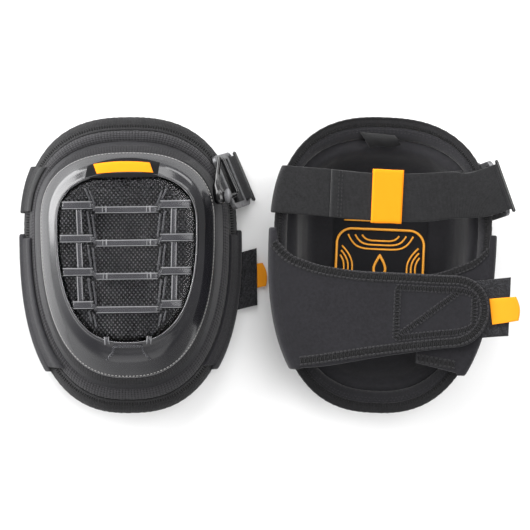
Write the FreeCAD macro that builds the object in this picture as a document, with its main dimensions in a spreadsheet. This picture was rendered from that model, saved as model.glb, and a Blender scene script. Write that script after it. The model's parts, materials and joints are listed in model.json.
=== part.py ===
"""A pair of strap-on knee pads for kneeling work, as a FreeCAD document.

Each pad is drawn once in its own frame and placed twice:
    u  across the pad, towards the buckle
    v  up the leg, towards the thigh
    w  forward, from the back of the leg towards the cap
The left pad lies on its straps with its cap up. The right pad is its mirror image and lies on
its cap with its straps up. All sizes are in millimetres.
"""

import FreeCAD, Part
import math
import os
from collections import namedtuple

import Sketcher
from FreeCAD import Placement, Rotation, Vector

SIZES = [
    # alias, value, what it is
    ("outline_half_width", 92.0, "half the width of the pad's outer edge"),
    ("outline_half_height", 126.5, "half the height of the pad's outer edge"),
    ("outline_centre", 25.0, "height of the outer edge's widest line"),
    ("cap_half_width", 74.0, "half the width of the cap"),
    ("cap_half_height", 95.5, "half the height of the cap"),
    ("cap_centre", 36.0, "height of the cap's widest line"),
    ("window_half_width", 58.5, "half the width of the cap's ribbed window"),
    ("window_top", 76.5, "top of the window"),
    ("window_bottom", -64.0, "bottom of the window"),
    ("window_centre", 34.0, "height of the window's widest line"),
    ("front_plane", 72.0, "depth from the back of the sides to the cap's flat front"),
    ("strap_width", 40.0, "upper strap webbing width"),
    ("strap_thickness", 2.0, "upper strap webbing thickness"),
    ("strap_height", 60.0, "height of the upper strap's middle line"),
    ("strap_back", 4.0, "gap from the back plane to the upper strap"),
    ("hem_length", 10.0, "folded end of the strap"),
    ("wrap_thickness", 3.0, "lower strap thickness"),
    ("wrap_back", 7.45, "gap from the back plane to the lower strap"),
    ("wing_back", 1.6, "gap from the back plane to the side wing"),
    ("wing_thickness", 2.8, "side wing thickness"),
    ("tape_thickness", 1.2, "binding tape thickness"),
    ("clearance", 0.3, "gap left between layers"),
    ("keeper_length", 26.0, "keeper loop length along the strap"),
    ("keeper_wall", 1.2, "keeper loop wall"),
    ("frame_length", 43.0, "buckle frame, strap bar to hook bar"),
    ("frame_width", 49.0, "buckle frame, across the webbing"),
    ("frame_thickness", 3.6, "buckle frame thickness"),
    ("slot_width", 42.0, "webbing slot length in the frame"),
    ("slot_gap", 5.2, "webbing slot opening"),
    ("bar_depth", 3.8, "buckle bar depth"),
    ("hook_width", 37.0, "buckle hook, along its bar"),
    ("knob_radius", 7.0, "buckle thumb knob"),
    ("buckle_slant", 22.0, "angle of the buckle to the leg"),
    ("gel_width", 78.0, "gel pad width"),
    ("gel_height", 104.0, "gel pad height"),
    ("gel_thickness", 3.8, "gel pad thickness"),
    ("pad_spacing", 214.5, "distance between the two pads"),
    ("row_shift", 8.8, "how far the whole row's middle lies beside the middle of the two pads"),
    ("left_turn", 0.7, "how far the left pad is turned on the floor"),
    ("right_turn", -2.4, "how far the right pad is turned on the floor"),
    ("strap_stack", 11.05, "depth of the straps behind the back plane"),
]

RING_POINTS = 40
EGG_POWER = 2.5  # the outlines are superellipses of this power
SEAM = 0.34  # where the straps and wing are sewn to the side, as a share from edge to cap

doc = FreeCAD.newDocument("knee_pads")
sheet = doc.addObject("Spreadsheet::Sheet", "sizes")
for row, (alias, value, meaning) in enumerate(SIZES, start=1):
    sheet.set(f"A{row}", alias)
    sheet.set(f"B{row}", str(value))
    sheet.setAlias(f"B{row}", alias)
    sheet.set(f"C{row}", meaning)
doc.recompute()


def size(alias):
    """A driving dimension, read from the sheet."""
    return float(sheet.get(alias))


# ---------------------------------------------------------------- rings and profiles

Ring = namedtuple("Ring", "half_width centre top bottom w_side w_end")

# Each profile runs from the outer edge (0) over the cap's edge (1) and the window's edge (2)
# to its middle (3). Its entries are (share, w at the sides, w at the top and bottom).
FRONT = [
    (0.04, 3.0, 32.0),
    (0.36, 17.0, 40.0),
    (0.70, 33.0, 44.0),
    (0.86, 44.0, 51.5),
    (1.00, 52.5, 57.0),
    (1.15, 57.5, 60.5),
    (1.50, 65.0, 67.0),
    (1.92, 69.8, 70.0),
    (2.06, 71.6, 71.6),
    (2.20, 72.0, 72.0),
    (3.00, 72.0, 72.0),
]
BACK = [
    (0.00, 0.6, 30.2),
    (0.50, 6.0, 33.0),
    (0.90, 22.0, 40.0),
    (1.50, 42.0, 48.5),
    (1.80, 50.0, 51.5),
    (1.95, 52.0, 52.0),
    (3.00, 52.0, 52.0),
]


def plan(share):
    """(half width, centre, top, bottom) of the pad's outline at a share of the way in."""
    outline = (
        size("outline_half_width"),
        size("outline_centre"),
        size("outline_half_height"),
        -size("outline_half_height"),
    )
    cap = (
        size("cap_half_width"),
        size("cap_centre"),
        size("cap_half_height"),
        -size("cap_half_height"),
    )
    window = (
        size("window_half_width"),
        size("window_centre"),
        size("window_top"),
        size("window_bottom"),
    )
    middle = (0.0, window[1], window[1], window[1])
    stops = (outline, cap, window, middle)
    i = min(int(share), 2)
    return tuple(a + (b - a) * (share - i) for a, b in zip(stops[i], stops[i + 1]))


def heights(profile, share):
    """(w at the sides, w at the ends) of a profile, between its entries."""
    share = max(profile[0][0], min(share, profile[-1][0]))
    for (t0, s0, e0), (t1, s1, e1) in zip(profile, profile[1:]):
        if share <= t1:
            f = (share - t0) / (t1 - t0)
            return s0 + (s1 - s0) * f, e0 + (e1 - e0) * f


def normal(profile, share, end):
    """The profile's outward normal (outward, forward) at its sides or at its ends."""
    step = 0.03
    points = []
    for t in (share - step, share + step):
        half_width, _, top, _ = plan(max(0.0, min(t, 3.0)))
        points.append((top if end else half_width, heights(profile, t)[end]))
    (x0, w0), (x1, w1) = points
    length = math.hypot(x1 - x0, w1 - w0)
    return (w1 - w0) / length, (x0 - x1) / length


def on(profile, share, depth=0.0):
    """The ring of a profile at a share of the way in, sunk below it by a depth."""
    half_width, centre, top, bottom = plan(share)
    w_side, w_end = heights(profile, share)
    side, end = normal(profile, share, 0), normal(profile, share, 1)
    return Ring(
        half_width - depth * side[0],
        centre,
        top - depth * end[0],
        bottom + depth * end[0],
        w_side - depth * side[1],
        w_end - depth * end[1],
    )


def edge(outward, w_side, w_end):
    """A ring that follows the pad's outer edge, a distance outside it."""
    half_width, centre, top, bottom = plan(0.0)
    return Ring(half_width + outward, centre, top + outward, bottom - outward, w_side, w_end)


def ring_wire(ring):
    """The ring as a closed smooth wire."""
    points = []
    for i in range(RING_POINTS):
        angle = 2 * math.pi * i / RING_POINTS
        c, s = math.cos(angle), math.sin(angle)
        reach = ring.top - ring.centre if s >= 0 else ring.centre - ring.bottom
        u = ring.half_width * math.copysign(abs(c) ** (2 / EGG_POWER), c)
        v = ring.centre + reach * math.copysign(abs(s) ** (2 / EGG_POWER), s)
        points.append(Vector(u, v, ring.w_side + (ring.w_end - ring.w_side) * s * s))
    curve = Part.BSplineCurve()
    curve.interpolate(Points=points, PeriodicFlag=True)
    return Part.Wire([curve.toShape()])


def loft(name, rings, closed=False):
    """A solid through rings: a shell with a flat middle, or a band when it is closed."""
    sections = []
    for i, ring in enumerate(rings):
        section = doc.addObject("Part::Feature", f"{name}_ring{i}")
        section.Shape = ring_wire(ring)
        sections.append(section)
    solid = doc.addObject("Part::Loft", name)
    solid.Sections = sections
    solid.Solid = True
    solid.Ruled = True
    solid.Closed = closed
    return solid


def layer(name, profile, shares, near, far):
    """A sheet on a profile, from its flat middle out to an edge and back, between two depths."""
    upper = [on(profile, t, d) for t, d in zip(shares, near)]
    lower = [on(profile, t, d) for t, d in zip(shares, far)]
    return loft(name, upper + lower[::-1])


def band(name, profile, shares, near, far):
    """A closed band round a profile, between two depths."""
    upper = [on(profile, t, near) for t in shares]
    lower = [on(profile, t, far) for t in shares]
    return loft(name, upper + lower[::-1], closed=True)


# ---------------------------------------------------------------- flat and cut pieces


def spline_edge(points):
    curve = Part.BSplineCurve()
    curve.interpolate([Vector(u, v, 0) for u, v in points])
    return curve.toShape()


def straight_edges(points):
    pairs = zip(points, points[1:])
    return [Part.LineSegment(Vector(*a, 0), Vector(*b, 0)).toShape() for a, b in pairs]


def prism(name, edges, w_from, w_to):
    """A plan outline in u and v, raised from one w to another."""
    outline = doc.addObject("Part::Feature", f"{name}_outline")
    outline.Shape = Part.Wire(edges)
    outline.Placement = Placement(Vector(0, 0, w_from), Rotation())
    solid = doc.addObject("Part::Extrusion", name)
    solid.Base = outline
    solid.DirMode = "Custom"
    solid.Dir = Vector(0, 0, 1)
    solid.LengthFwd = w_to - w_from
    solid.Solid = True
    return solid


def polygon(name, points, w_from, w_to):
    return prism(name, straight_edges(points + points[:1]), w_from, w_to)


def combine(kind, name, base, tool):
    """A Part::Cut, Part::Common or Part::Fuse of two objects."""
    result = doc.addObject(kind, name)
    result.Base, result.Tool = base, tool
    return result


def sewn_end(name, back, thickness, corners):
    """The end of a strap or wing: sewn to the pad's side, it passes round the pad's edge."""
    end = -back + size("clearance")
    inner = [
        on(FRONT, SEAM, 0.2),
        on(FRONT, 0.10, -0.6),
        edge(1.1, 1.0, 31.0),
        edge(1.3, end, end),
    ]
    outer = [
        on(FRONT, SEAM, 0.2 - thickness),
        on(FRONT, 0.10, -0.6 - thickness),
        edge(1.1 + thickness, 1.5, 31.5),
        edge(1.3 + thickness, end, end),
    ]
    turn = loft(f"{name}_turn", inner + outer[::-1], closed=True)
    cutter = polygon(f"{name}_cutter", corners, -20.0, 60.0)
    return combine("Part::Common", name, turn, cutter)


def behind(name, edges, back, thickness):
    """A flat span behind the pad, cut off where it reaches the pad's outer edge."""
    reach = edge(1.3 + thickness, 0.0, 0.0)
    limit = prism(f"{name}_limit", ring_wire(reach).Edges, -back - thickness, -back)
    span = prism(f"{name}_span", edges, -back - thickness - 1.0, -back + 1.0)
    return combine("Part::Common", name, limit, span)


def in_body(name, plane="XY_Plane"):
    """A PartDesign body with a sketch on one of its origin planes."""
    body = doc.addObject("PartDesign::Body", name)
    sketch = body.newObject("Sketcher::SketchObject", f"{name}_sketch")
    planes = {p.Role: p for p in body.Origin.OriginFeatures}
    sketch.AttachmentSupport = [(planes[plane], "")]
    sketch.MapMode = "FlatFace"
    return body, sketch


def rectangle(sketch, width, height, x=0.0, y=0.0):
    """A rectangle about (x, y) whose width and height are names of sheet cells."""
    half_w, half_h = size(width) / 2, size(height) / 2
    corners = [
        Vector(x - half_w, y - half_h, 0),
        Vector(x + half_w, y - half_h, 0),
        Vector(x + half_w, y + half_h, 0),
        Vector(x - half_w, y + half_h, 0),
    ]
    first = sketch.GeometryCount
    for i in range(4):
        sketch.addGeometry(Part.LineSegment(corners[i], corners[(i + 1) % 4]))
    for i in range(4):
        sketch.addConstraint(Sketcher.Constraint("Coincident", first + i, 2, first + (i + 1) % 4, 1))
    for i in (0, 2):
        sketch.addConstraint(Sketcher.Constraint("Horizontal", first + i))
    for i in (1, 3):
        sketch.addConstraint(Sketcher.Constraint("Vertical", first + i))
    for kind, line, cell in (("DistanceX", first, width), ("DistanceY", first + 1, height)):
        index = sketch.addConstraint(Sketcher.Constraint(kind, line, 1, line, 2, size(cell)))
        sketch.setExpression(f"Constraints[{index}]", f"sizes.{cell}")
    for kind, value in (("DistanceX", corners[0].x), ("DistanceY", corners[0].y)):
        sketch.addConstraint(Sketcher.Constraint(kind, -1, 1, first, 1, value))


def pad(body, sketch, cell, symmetric=False):
    feature = body.newObject("PartDesign::Pad", f"{body.Name}_pad")
    feature.Profile = sketch
    feature.setExpression("Length", f"sizes.{cell}")
    feature.Midplane = symmetric
    return feature


def soften(body, feature, radius, choose):
    """Rounds the edges of a feature that choose() accepts."""
    doc.recompute()
    names = [f"Edge{i}" for i, e in enumerate(feature.Shape.Edges, start=1) if choose(e)]
    fillet = body.newObject("PartDesign::Fillet", f"{body.Name}_fillet")
    fillet.Base = (feature, names)
    fillet.Radius = radius
    return fillet


def along(edge_, axis):
    """True where a straight edge runs along one of the axes 0, 1 or 2."""
    ends = [v.Point for v in edge_.Vertexes]
    if len(ends) != 2 or edge_.Curve.TypeId != "Part::GeomLine":
        return False
    run = ends[1] - ends[0]
    return abs(abs(run[axis]) - run.Length) < 1e-6


# ---------------------------------------------------------------- the pad's layers


def make_cap(side):
    shares = [2.35, 2.20, 2.06, 1.92, 1.50, 1.15, 1.00]
    return layer(f"{side}_cap", FRONT, shares, [0.0] * 7, [2.4, 2.4, 2.4, 2.2, 1.6, 1.6, 1.6])


def make_grip_insert(side):
    """The textured panel that shows through the window."""
    return layer(f"{side}_grip_insert", FRONT, [2.35, 2.10], [2.7, 2.7], [3.9, 3.9])


def make_outer_cover(side):
    shares = [2.35, 2.06, 1.92, 1.50, 1.15, 1.00, 0.86, 0.70, 0.36, 0.12]
    near = [4.2, 4.2, 4.1, 3.3, 3.3, 1.9, 1.9, 1.9, 1.9, 1.9]
    return layer(f"{side}_outer_cover", FRONT, shares, near, [d + 1.0 for d in near])


def make_foam_core(side):
    front = [
        (2.35, 5.6),
        (2.06, 5.6),
        (1.92, 5.5),
        (1.50, 4.7),
        (1.15, 4.7),
        (1.00, 3.3),
        (0.86, 3.3),
        (0.70, 3.3),
        (0.36, 3.3),
        (0.12, 3.3),
    ]
    rings = [on(FRONT, t, d) for t, d in front]
    rings += [on(BACK, t) for t in (0.18, 0.28, 0.42, 0.54, 0.90, 1.50, 1.80, 1.95, 2.35)]
    return loft(f"{side}_foam_core", rings)


def make_rim_band(side):
    """The raised woven roll between the edge tape and the groove round the cap."""
    roll = [(0.38, 1.6), (0.42, -0.6), (0.51, -1.6), (0.60, -0.6), (0.64, 1.6), (0.51, 1.6)]
    return loft(f"{side}_rim_band", [on(FRONT, t, d) for t, d in roll], closed=True)


def make_edge_binding(side):
    rings = [
        on(FRONT, 0.36, 0.5),
        on(FRONT, 0.12, 0.5),
        edge(0.2, -0.6, 29.4),
        on(BACK, 0.10, 1.6),
        on(BACK, 0.26, 1.6),
        on(BACK, 0.26, 0.4),
        on(BACK, 0.16, 0.4),
        edge(-1.6, 0.9, 30.4),
        on(FRONT, 0.14, 1.6),
        on(FRONT, 0.36, 1.6),
    ]
    return loft(f"{side}_edge_binding", rings, closed=True)


def make_liner_border(side):
    return band(f"{side}_liner_border", BACK, [0.28, 0.42, 0.54], 0.4, 1.6)


def make_liner(side):
    """The soft skin of the hollow, lifted in its middle to leave room for the gel pad."""
    shares = [2.35, 1.97, 1.84, 1.60, 0.90, 0.57]
    near = [4.4, 4.4, 1.2, 0.4, 0.4, 0.4]
    return layer(f"{side}_liner", BACK, shares, near, [d + 1.2 for d in near])


def make_gel_pad(side):
    body, sketch = in_body(f"{side}_gel_pad")
    rectangle(sketch, "gel_width", "gel_height")
    slab = pad(body, sketch, "gel_thickness")
    soften(body, slab, 20.0, lambda e: along(e, 2))
    body.Placement = Placement(Vector(0, 10, 47.9), Rotation())
    return body


def make_gel_panel(side):
    """The printed fabric patch over the gel pad."""
    body, sketch = in_body(f"{side}_gel_panel")
    rectangle(sketch, "gel_width", "gel_height")
    patch = pad(body, sketch, "tape_thickness")
    soften(body, patch, 20.0, lambda e: along(e, 2))
    body.Placement = Placement(Vector(0, 4, 44.8), Rotation())
    return body


def make_panel_print(side):
    """A raised print on the panel: one rounded frame line."""
    outer, inner = (38.4, 38.0, 14.0), (36.2, 35.8, 12.0)
    shapes = []
    for half_u, half_v, radius in (outer, inner):
        block = Part.makeBox(2 * half_u, 2 * half_v, 0.3, Vector(-half_u, -half_v, 0))
        upright = [e for e in block.Edges if along(e, 2)]
        shapes.append(block.makeFillet(radius, upright))
    line = doc.addObject("Part::Feature", f"{side}_panel_print")
    line.Shape = shapes[0].cut(shapes[1])
    line.Placement = Placement(Vector(0, -8.5, 44.2), Rotation())
    return line


def make_label_plate(side):
    """The dark name plate that lies under the clear flange, above the window."""
    corners = [(-36.0, 72.0), (-30.0, 91.5), (26.0, 91.5), (32.0, 72.0)]
    sheet_band = band(f"{side}_label_band", FRONT, [1.15, 1.50, 1.88], 2.5, 2.9)
    cutter = polygon(f"{side}_label_cutter", corners, 50.0, 75.0)
    return combine("Part::Common", f"{side}_label_plate", sheet_band, cutter)


def make_label_strip(side):
    """The plain coloured strip on the name plate."""
    corners = [(-27.0, 80.8), (-27.0, 88.2), (21.0, 88.2), (21.0, 80.8)]
    strip_band = band(f"{side}_strip_band", FRONT, [1.15, 1.50, 1.88], 2.0, 2.3)
    cutter = polygon(f"{side}_strip_cutter", corners, 50.0, 75.0)
    return combine("Part::Common", f"{side}_label_strip", strip_band, cutter)


def make_hang_loop(side):
    """A folded tape tab sewn at the top of the liner's border."""
    body, sketch = in_body(f"{side}_hang_loop", "YZ_Plane")
    profile = [(0.0, 0.0), (-13.0, -6.0), (-13.9, -4.9), (-1.0, 1.2)]
    for a, b in zip(profile, profile[1:] + profile[:1]):
        sketch.addGeometry(Part.LineSegment(Vector(*a, 0), Vector(*b, 0)))
    feature = body.newObject("PartDesign::Pad", f"{side}_hang_loop_pad")
    feature.Profile = sketch
    feature.Length = 32.0
    feature.Midplane = True
    body.Placement = Placement(Vector(0, 113.5, 28.6), Rotation())
    return body


# ---------------------------------------------------------------- the upper strap and buckle


# Where the strap's bar lies on each pad, in u and v: the webbing lets it hang a little freely.
BUCKLE_BAR = {"left": (94.0, 74.0), "right": (96.0, 69.0)}
WEBBING_LOOP = 9.7  # how far the webbing's loop reaches back from the bar


def bar_centre(side):
    """The middle of the buckle bar that carries the strap."""
    middle = size("strap_thickness") + size("clearance") / 2
    return Vector(*BUCKLE_BAR[side], -size("strap_back") - middle)


def slanted(side, x, y):
    """A plan point beside the strap's bar: x along the webbing, y along the bar."""
    point = Rotation(Vector(0, 0, 1), size("buckle_slant")).multVec(Vector(x, y, 0))
    return point.x + BUCKLE_BAR[side][0], point.y + BUCKLE_BAR[side][1]


def buckle_frame_place(side):
    """Where the buckle frame stands: its x runs from the strap bar to the hook bar."""
    slant = Rotation(Vector(0, 0, 1), size("buckle_slant"))
    lean = Rotation(Vector(0, 1, 0), -(180 - math.degrees(math.atan2(36.7, 13.0))))
    return Placement(bar_centre(side), slant.multiply(lean))


def make_strap_base(side):
    """The webbing sewn to the pad's side, as far as the pad's edge."""
    low = size("strap_height") - size("strap_width") / 2
    high = low + size("strap_width")
    cut = [(-60.0, low + 1), (-110.0, low + 1), (-110.0, high + 1), (-60.0, high + 1)]
    name = f"{side}_strap_base"
    return sewn_end(name, size("strap_back"), size("strap_thickness"), cut)


def make_upper_strap(side):
    """The webbing across the back, from the pad's edge to the buckle."""
    low = size("strap_height") - size("strap_width") / 2
    high = low + size("strap_width")
    half = size("strap_width") / 2
    corners = [
        (-110.0, low + 1),
        (-110.0, high + 1),
        (28.0, high - 3),
        slanted(side, -WEBBING_LOOP - 4.5, half),
        slanted(side, -WEBBING_LOOP - 4.5, -half),
        (28.0, low - 3),
    ]
    name = f"{side}_upper_strap"
    edges = straight_edges(corners + corners[:1])
    return behind(name, edges, size("strap_back"), size("strap_thickness"))


def make_strap_tail(side):
    """The webbing round the buckle's bar and its loose end, which lies back on the strap."""
    back, thick, gap = size("strap_back"), size("strap_thickness"), size("clearance")
    near = -back - thick - gap
    half = size("strap_width") / 2
    bar = bar_centre(side)
    bend = 3.9
    start, top, out, low, end = (
        Vector(-WEBBING_LOOP - 3.0, 0, -back - thick / 2 - bar.z),
        Vector(0, 0, bend),
        Vector(bend, 0, 0),
        Vector(0, 0, -bend),
        Vector(-WEBBING_LOOP, 0, near - thick / 2 - bar.z),
    )
    path = [Part.LineSegment(start, top), Part.Arc(top, out, low), Part.LineSegment(low, end)]
    line = doc.addObject("Part::Feature", f"{side}_tail_line")
    line.Shape = Part.Wire([piece.toShape() for piece in path])
    ribbon = doc.addObject("Part::Offset2D", f"{side}_tail_ribbon")
    ribbon.Source = line
    ribbon.Value = thick / 2
    ribbon.Mode = "Pipe"
    ribbon.Fill = True
    loop = doc.addObject("Part::Extrusion", f"{side}_tail_loop")
    loop.Base = ribbon
    loop.DirMode = "Custom"
    loop.Dir = Vector(0, 1, 0)
    loop.LengthFwd = size("strap_width")
    loop.Symmetric = True
    loop.Solid = True
    loop.Placement = Placement(bar, Rotation(Vector(0, 0, 1), size("buckle_slant")))
    low_edge = size("strap_height") - half - 1.5
    high_edge = size("strap_height") + half - 1.5
    hem_end = -47.0 + size("hem_length")
    corners = [
        (-47.0, low_edge),
        (-47.0, high_edge),
        (28.0, high_edge - 1.5),
        slanted(side, -WEBBING_LOOP, half),
        slanted(side, -WEBBING_LOOP, -half),
        (28.0, low_edge - 1.5),
    ]
    hem_corners = [(-47.0, low_edge), (-47.0, high_edge), (hem_end, high_edge), (hem_end, low_edge)]
    tail = polygon(f"{side}_tail_span", corners, near - thick, near)
    hem = polygon(f"{side}_tail_hem", hem_corners, near - 1.7 * thick, near - thick)
    whole = combine("Part::Fuse", f"{side}_tail_and_hem", tail, hem)
    return combine("Part::Fuse", f"{side}_strap_tail", whole, loop)


KEEPER_START = -11.0  # u of the keeper's near edge
KEEPER_DROP = 2.3  # how far the strap has dropped there from its height at the pad's side


def make_strap_keeper(side):
    """The closed elastic loop that holds the loose end on the strap."""
    wall, gap = size("keeper_wall"), size("clearance")
    depth = 2 * size("strap_thickness") + 3 * gap + 2 * wall
    height = size("strap_width") + 3.4 + 2 * wall
    outer = doc.addObject("Part::Box", f"{side}_keeper_outer")
    inner = doc.addObject("Part::Box", f"{side}_keeper_inner")
    outer.setExpression("Length", "sizes.keeper_length")
    inner.setExpression("Length", "sizes.keeper_length + 2")
    outer.Width, outer.Height = height, depth
    inner.Width, inner.Height = height - 2 * wall, depth - 2 * wall
    outer.Placement = Placement(Vector(0, -height / 2, -depth / 2), Rotation())
    inner.Placement = Placement(Vector(-1, wall - height / 2, wall - depth / 2), Rotation())
    keeper = combine("Part::Cut", f"{side}_strap_keeper", outer, inner)
    middle = -size("strap_back") - size("strap_thickness") - gap / 2
    keeper.Placement = Placement(Vector(KEEPER_START, size("strap_height") - KEEPER_DROP, middle), Rotation())
    return keeper


def make_buckle_frame(side):
    """A rigid frame with a webbing slot at one end and a window for the hook at the other."""
    body, sketch = in_body(f"{side}_buckle_frame")
    half_bar = size("bar_depth") / 2
    rectangle(sketch, "frame_length", "frame_width", size("frame_length") / 2 - half_bar)
    slab = pad(body, sketch, "frame_thickness", symmetric=True)
    rounded = soften(body, slab, 6.0, lambda e: along(e, 2))
    doc.recompute()
    slots = body.newObject("Sketcher::SketchObject", f"{side}_buckle_frame_slots")
    planes = {p.Role: p for p in body.Origin.OriginFeatures}
    slots.AttachmentSupport = [(planes["XY_Plane"], "")]
    slots.MapMode = "FlatFace"
    rectangle(slots, "slot_gap", "slot_width", half_bar + size("slot_gap") / 2)
    left, right, half = half_bar + size("slot_gap") + 3.4, 37.0, 19.5
    window = [(left, -half), (right, -half), (right, half), (left, half)]
    first = slots.GeometryCount
    for a, b in zip(window, window[1:] + window[:1]):
        slots.addGeometry(Part.LineSegment(Vector(*a, 0), Vector(*b, 0)))
    for i in range(4):
        slots.addConstraint(
            Sketcher.Constraint("Coincident", first + i, 2, first + (i + 1) % 4, 1)
        )
    pocket = body.newObject("PartDesign::Pocket", f"{side}_buckle_frame_pocket")
    pocket.Profile = slots
    pocket.Type = "ThroughAll"
    pocket.Midplane = True
    doc.recompute()
    if pocket.Shape.Volume > 0.8 * rounded.Shape.Volume:
        raise ValueError("the buckle frame's slots cut nothing")
    long_edges = soften(body, pocket, 0.8, lambda e: along(e, 1) and e.Length > 30)
    body.Tip = long_edges
    body.Placement = buckle_frame_place(side)
    return body


def make_buckle_hook(side):
    """The hook on the pad's side: the frame's inner bar lies behind its lip."""
    body, sketch = in_body(f"{side}_buckle_hook", "XZ_Plane")
    profile = [
        (-12.2, 18.6),
        (-5.0, 5.6),
        (-3.4, 4.2),
        (3.9, 4.0),
        (3.9, -5.0),
        (6.9, -5.0),
        (6.9, 5.8),
        (5.4, 7.6),
        (-1.4, 8.4),
        (-9.0, 20.4),
    ]
    for a, b in zip(profile, profile[1:] + profile[:1]):
        sketch.addGeometry(Part.LineSegment(Vector(*a, 0), Vector(*b, 0)))
    body_pad = pad(body, sketch, "hook_width", symmetric=True)
    body.Tip = body_pad
    slant = Rotation(Vector(0, 0, 1), size("buckle_slant"))
    body.Placement = Placement(hook_bar_centre(side), slant)
    return body


def hook_bar_centre(side):
    """The middle of the frame's inner bar, which the hook holds."""
    reach = size("frame_length") - size("bar_depth")
    return buckle_frame_place(side).multVec(Vector(reach, 0, 0))


def make_buckle_knob(side):
    """The round thumb knob on the hook, turned about its own axis."""
    body, sketch = in_body(f"{side}_buckle_knob", "XZ_Plane")
    radius = size("knob_radius")
    half = [
        (0.0, 0.0),
        (4.0, 0.0),
        (4.0, 1.6),
        (radius, 2.0),
        (radius, 3.6),
        (radius - 1.6, 4.8),
        (0.0, 5.6),
    ]
    for a, b in zip(half, half[1:] + half[:1]):
        sketch.addGeometry(Part.LineSegment(Vector(*a, 0), Vector(*b, 0)))
    turned = body.newObject("PartDesign::Revolution", f"{side}_buckle_knob_turned")
    turned.Profile = sketch
    turned.ReferenceAxis = (sketch, ["V_Axis"])
    turned.Angle = 360.0
    slant = Rotation(Vector(0, 0, 1), size("buckle_slant"))
    lean = slant.multiply(Rotation(Vector(0, 1, 0), 90.0))
    offset = slant.multVec(Vector(7.2, 7.0 - size("hook_width") / 2, 0.6))
    body.Placement = Placement(hook_bar_centre(side) + offset, lean)
    return body


def make_buckle_anchor(side):
    """The tape patch that sews the hook to the cover."""
    skin = band(f"{side}_anchor_band", FRONT, [0.74, 0.86, 0.97], 0.9, 1.7)
    middle = hook_bar_centre(side).y
    cut = [(50.0, middle - 21), (95.0, middle - 14), (95.0, middle + 16), (50.0, middle + 20)]
    cutter = polygon(f"{side}_anchor_cutter", cut, 20.0, 70.0)
    return combine("Part::Common", f"{side}_buckle_anchor", skin, cutter)


# ---------------------------------------------------------------- the lower strap and wing


def lifted(points, lift):
    """Plan points of the lower strap with its free end lifted up the leg."""
    return [(u, v + lift * max(0.0, (u + 60.0) / 150.0)) for u, v in points]


def wrap_outline(lift, inset=0.0):
    """The lower strap's plan outline: wide at the seam, narrow and round at its free end."""
    top = [(-98.0, 33.0), (-90.0, 20.0), (-80.0, 9.0), (-62.0, 1.0), (-30.0, -5.5), (20.0, -8.5)]
    top.append((60.0, -10.0))
    bottom = [(60.0, -71.0), (0.0, -78.0), (-66.0, -88.0), (-98.0, -91.0)]
    top = [(u, v - inset) for u, v in top]
    bottom = [(u, v + inset) for u, v in bottom]
    side_points = [bottom[-1], (-112.0, -91.0), (-112.0, 33.0), top[0]]
    top, bottom = lifted(top, lift), lifted(bottom, lift)
    tip = lifted([(92.0 - inset, -39.0)], lift)[0]
    end = Part.Arc(Vector(*top[-1], 0), Vector(*tip, 0), Vector(*bottom[0], 0)).toShape()
    return [spline_edge(top), end, spline_edge(bottom)] + straight_edges(side_points)


def make_wrap_base(side):
    """The wide stretch strap's sewn end, as far as the pad's edge."""
    cut = [(-60.0, 40.0), (-110.0, 30.0), (-110.0, -82.0), (-50.0, -97.0)]
    return sewn_end(f"{side}_wrap_base", size("wrap_back"), size("wrap_thickness"), cut)


def make_wrap_strap(side, lift):
    """The wide stretch strap across the back of the calf."""
    edges = wrap_outline(lift)
    return behind(f"{side}_wrap_strap", edges, size("wrap_back"), size("wrap_thickness"))


def make_wrap_binding(side, lift):
    """The tape on both faces of the lower strap's long edges."""
    back, thick = size("wrap_back"), size("wrap_thickness")
    skin, gap = 0.5, 0.1
    faces = []
    for i, near in enumerate((-back + gap + skin, -back - thick - gap)):
        full = prism(f"{side}_wrap_tape{i}", wrap_outline(lift, 0.2), near - skin, near)
        core = prism(f"{side}_wrap_tape_core{i}", wrap_outline(lift, 8.0), near - 1.0, near + 1.0)
        ring = combine("Part::Cut", f"{side}_wrap_tape_ring{i}", full, core)
        clip = [(-66.0, 60.0), (-66.0, -110.0), (120.0, -110.0), (120.0, 60.0)]
        keep = polygon(f"{side}_wrap_tape_keep{i}", clip, near - 2.0, near + 2.0)
        faces.append(combine("Part::Common", f"{side}_wrap_tape_side{i}", ring, keep))
    both = doc.addObject("Part::Compound", f"{side}_wrap_binding")
    both.Links = faces
    return both


def make_hook_patch(side, lift):
    """The hook-and-loop patch under the lower strap's end, which sticks out past it."""
    corners = [(14.0, -18.0), (60.0, -16.5), (112.0, -11.0), (108.0, -61.0), (60.0, -65.0)]
    corners.append((14.0, -66.0))
    near = -size("wrap_back") + 1.0
    return polygon(f"{side}_hook_patch", lifted(corners, lift), near, near + 0.9)


def make_pull_tab(side, lift):
    """The coloured pull tab sewn to the hook patch."""
    body, sketch = in_body(f"{side}_pull_tab")
    outline = [(0.0, -10.5), (15.0, -11.5), (22.5, -5.0), (22.5, 13.5), (17.0, 14.5), (14.0, 10.0)]
    outline.append((0.0, 10.5))
    for a, b in zip(outline, outline[1:] + outline[:1]):
        sketch.addGeometry(Part.LineSegment(Vector(*a, 0), Vector(*b, 0)))
    pad(body, sketch, "tape_thickness")
    u, v = lifted([(93.2, -38.5)], lift)[0]
    body.Placement = Placement(
        Vector(u, v, -size("wrap_back") - 0.6), Rotation(Vector(0, 0, 1), 5.0)
    )
    return body


def wing_outline(inset=0.0):
    """The side wing's plan outline, behind the pad on its buckle side."""
    top = [(98.0, 34.0), (90.0, 21.0), (81.0, 11.0), (66.0, 3.0), (48.0, -4.0), (32.0, -8.5)]
    bottom = [(32.0, -81.0), (66.0, -86.0), (98.0, -91.0)]
    top = [(u, v - inset) for u, v in top]
    bottom = [(u, v + inset) for u, v in bottom]
    rest = straight_edges([top[-1]] + bottom + [(112.0, -91.0), (112.0, 34.0), top[0]])
    return [spline_edge(top)] + rest


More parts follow.
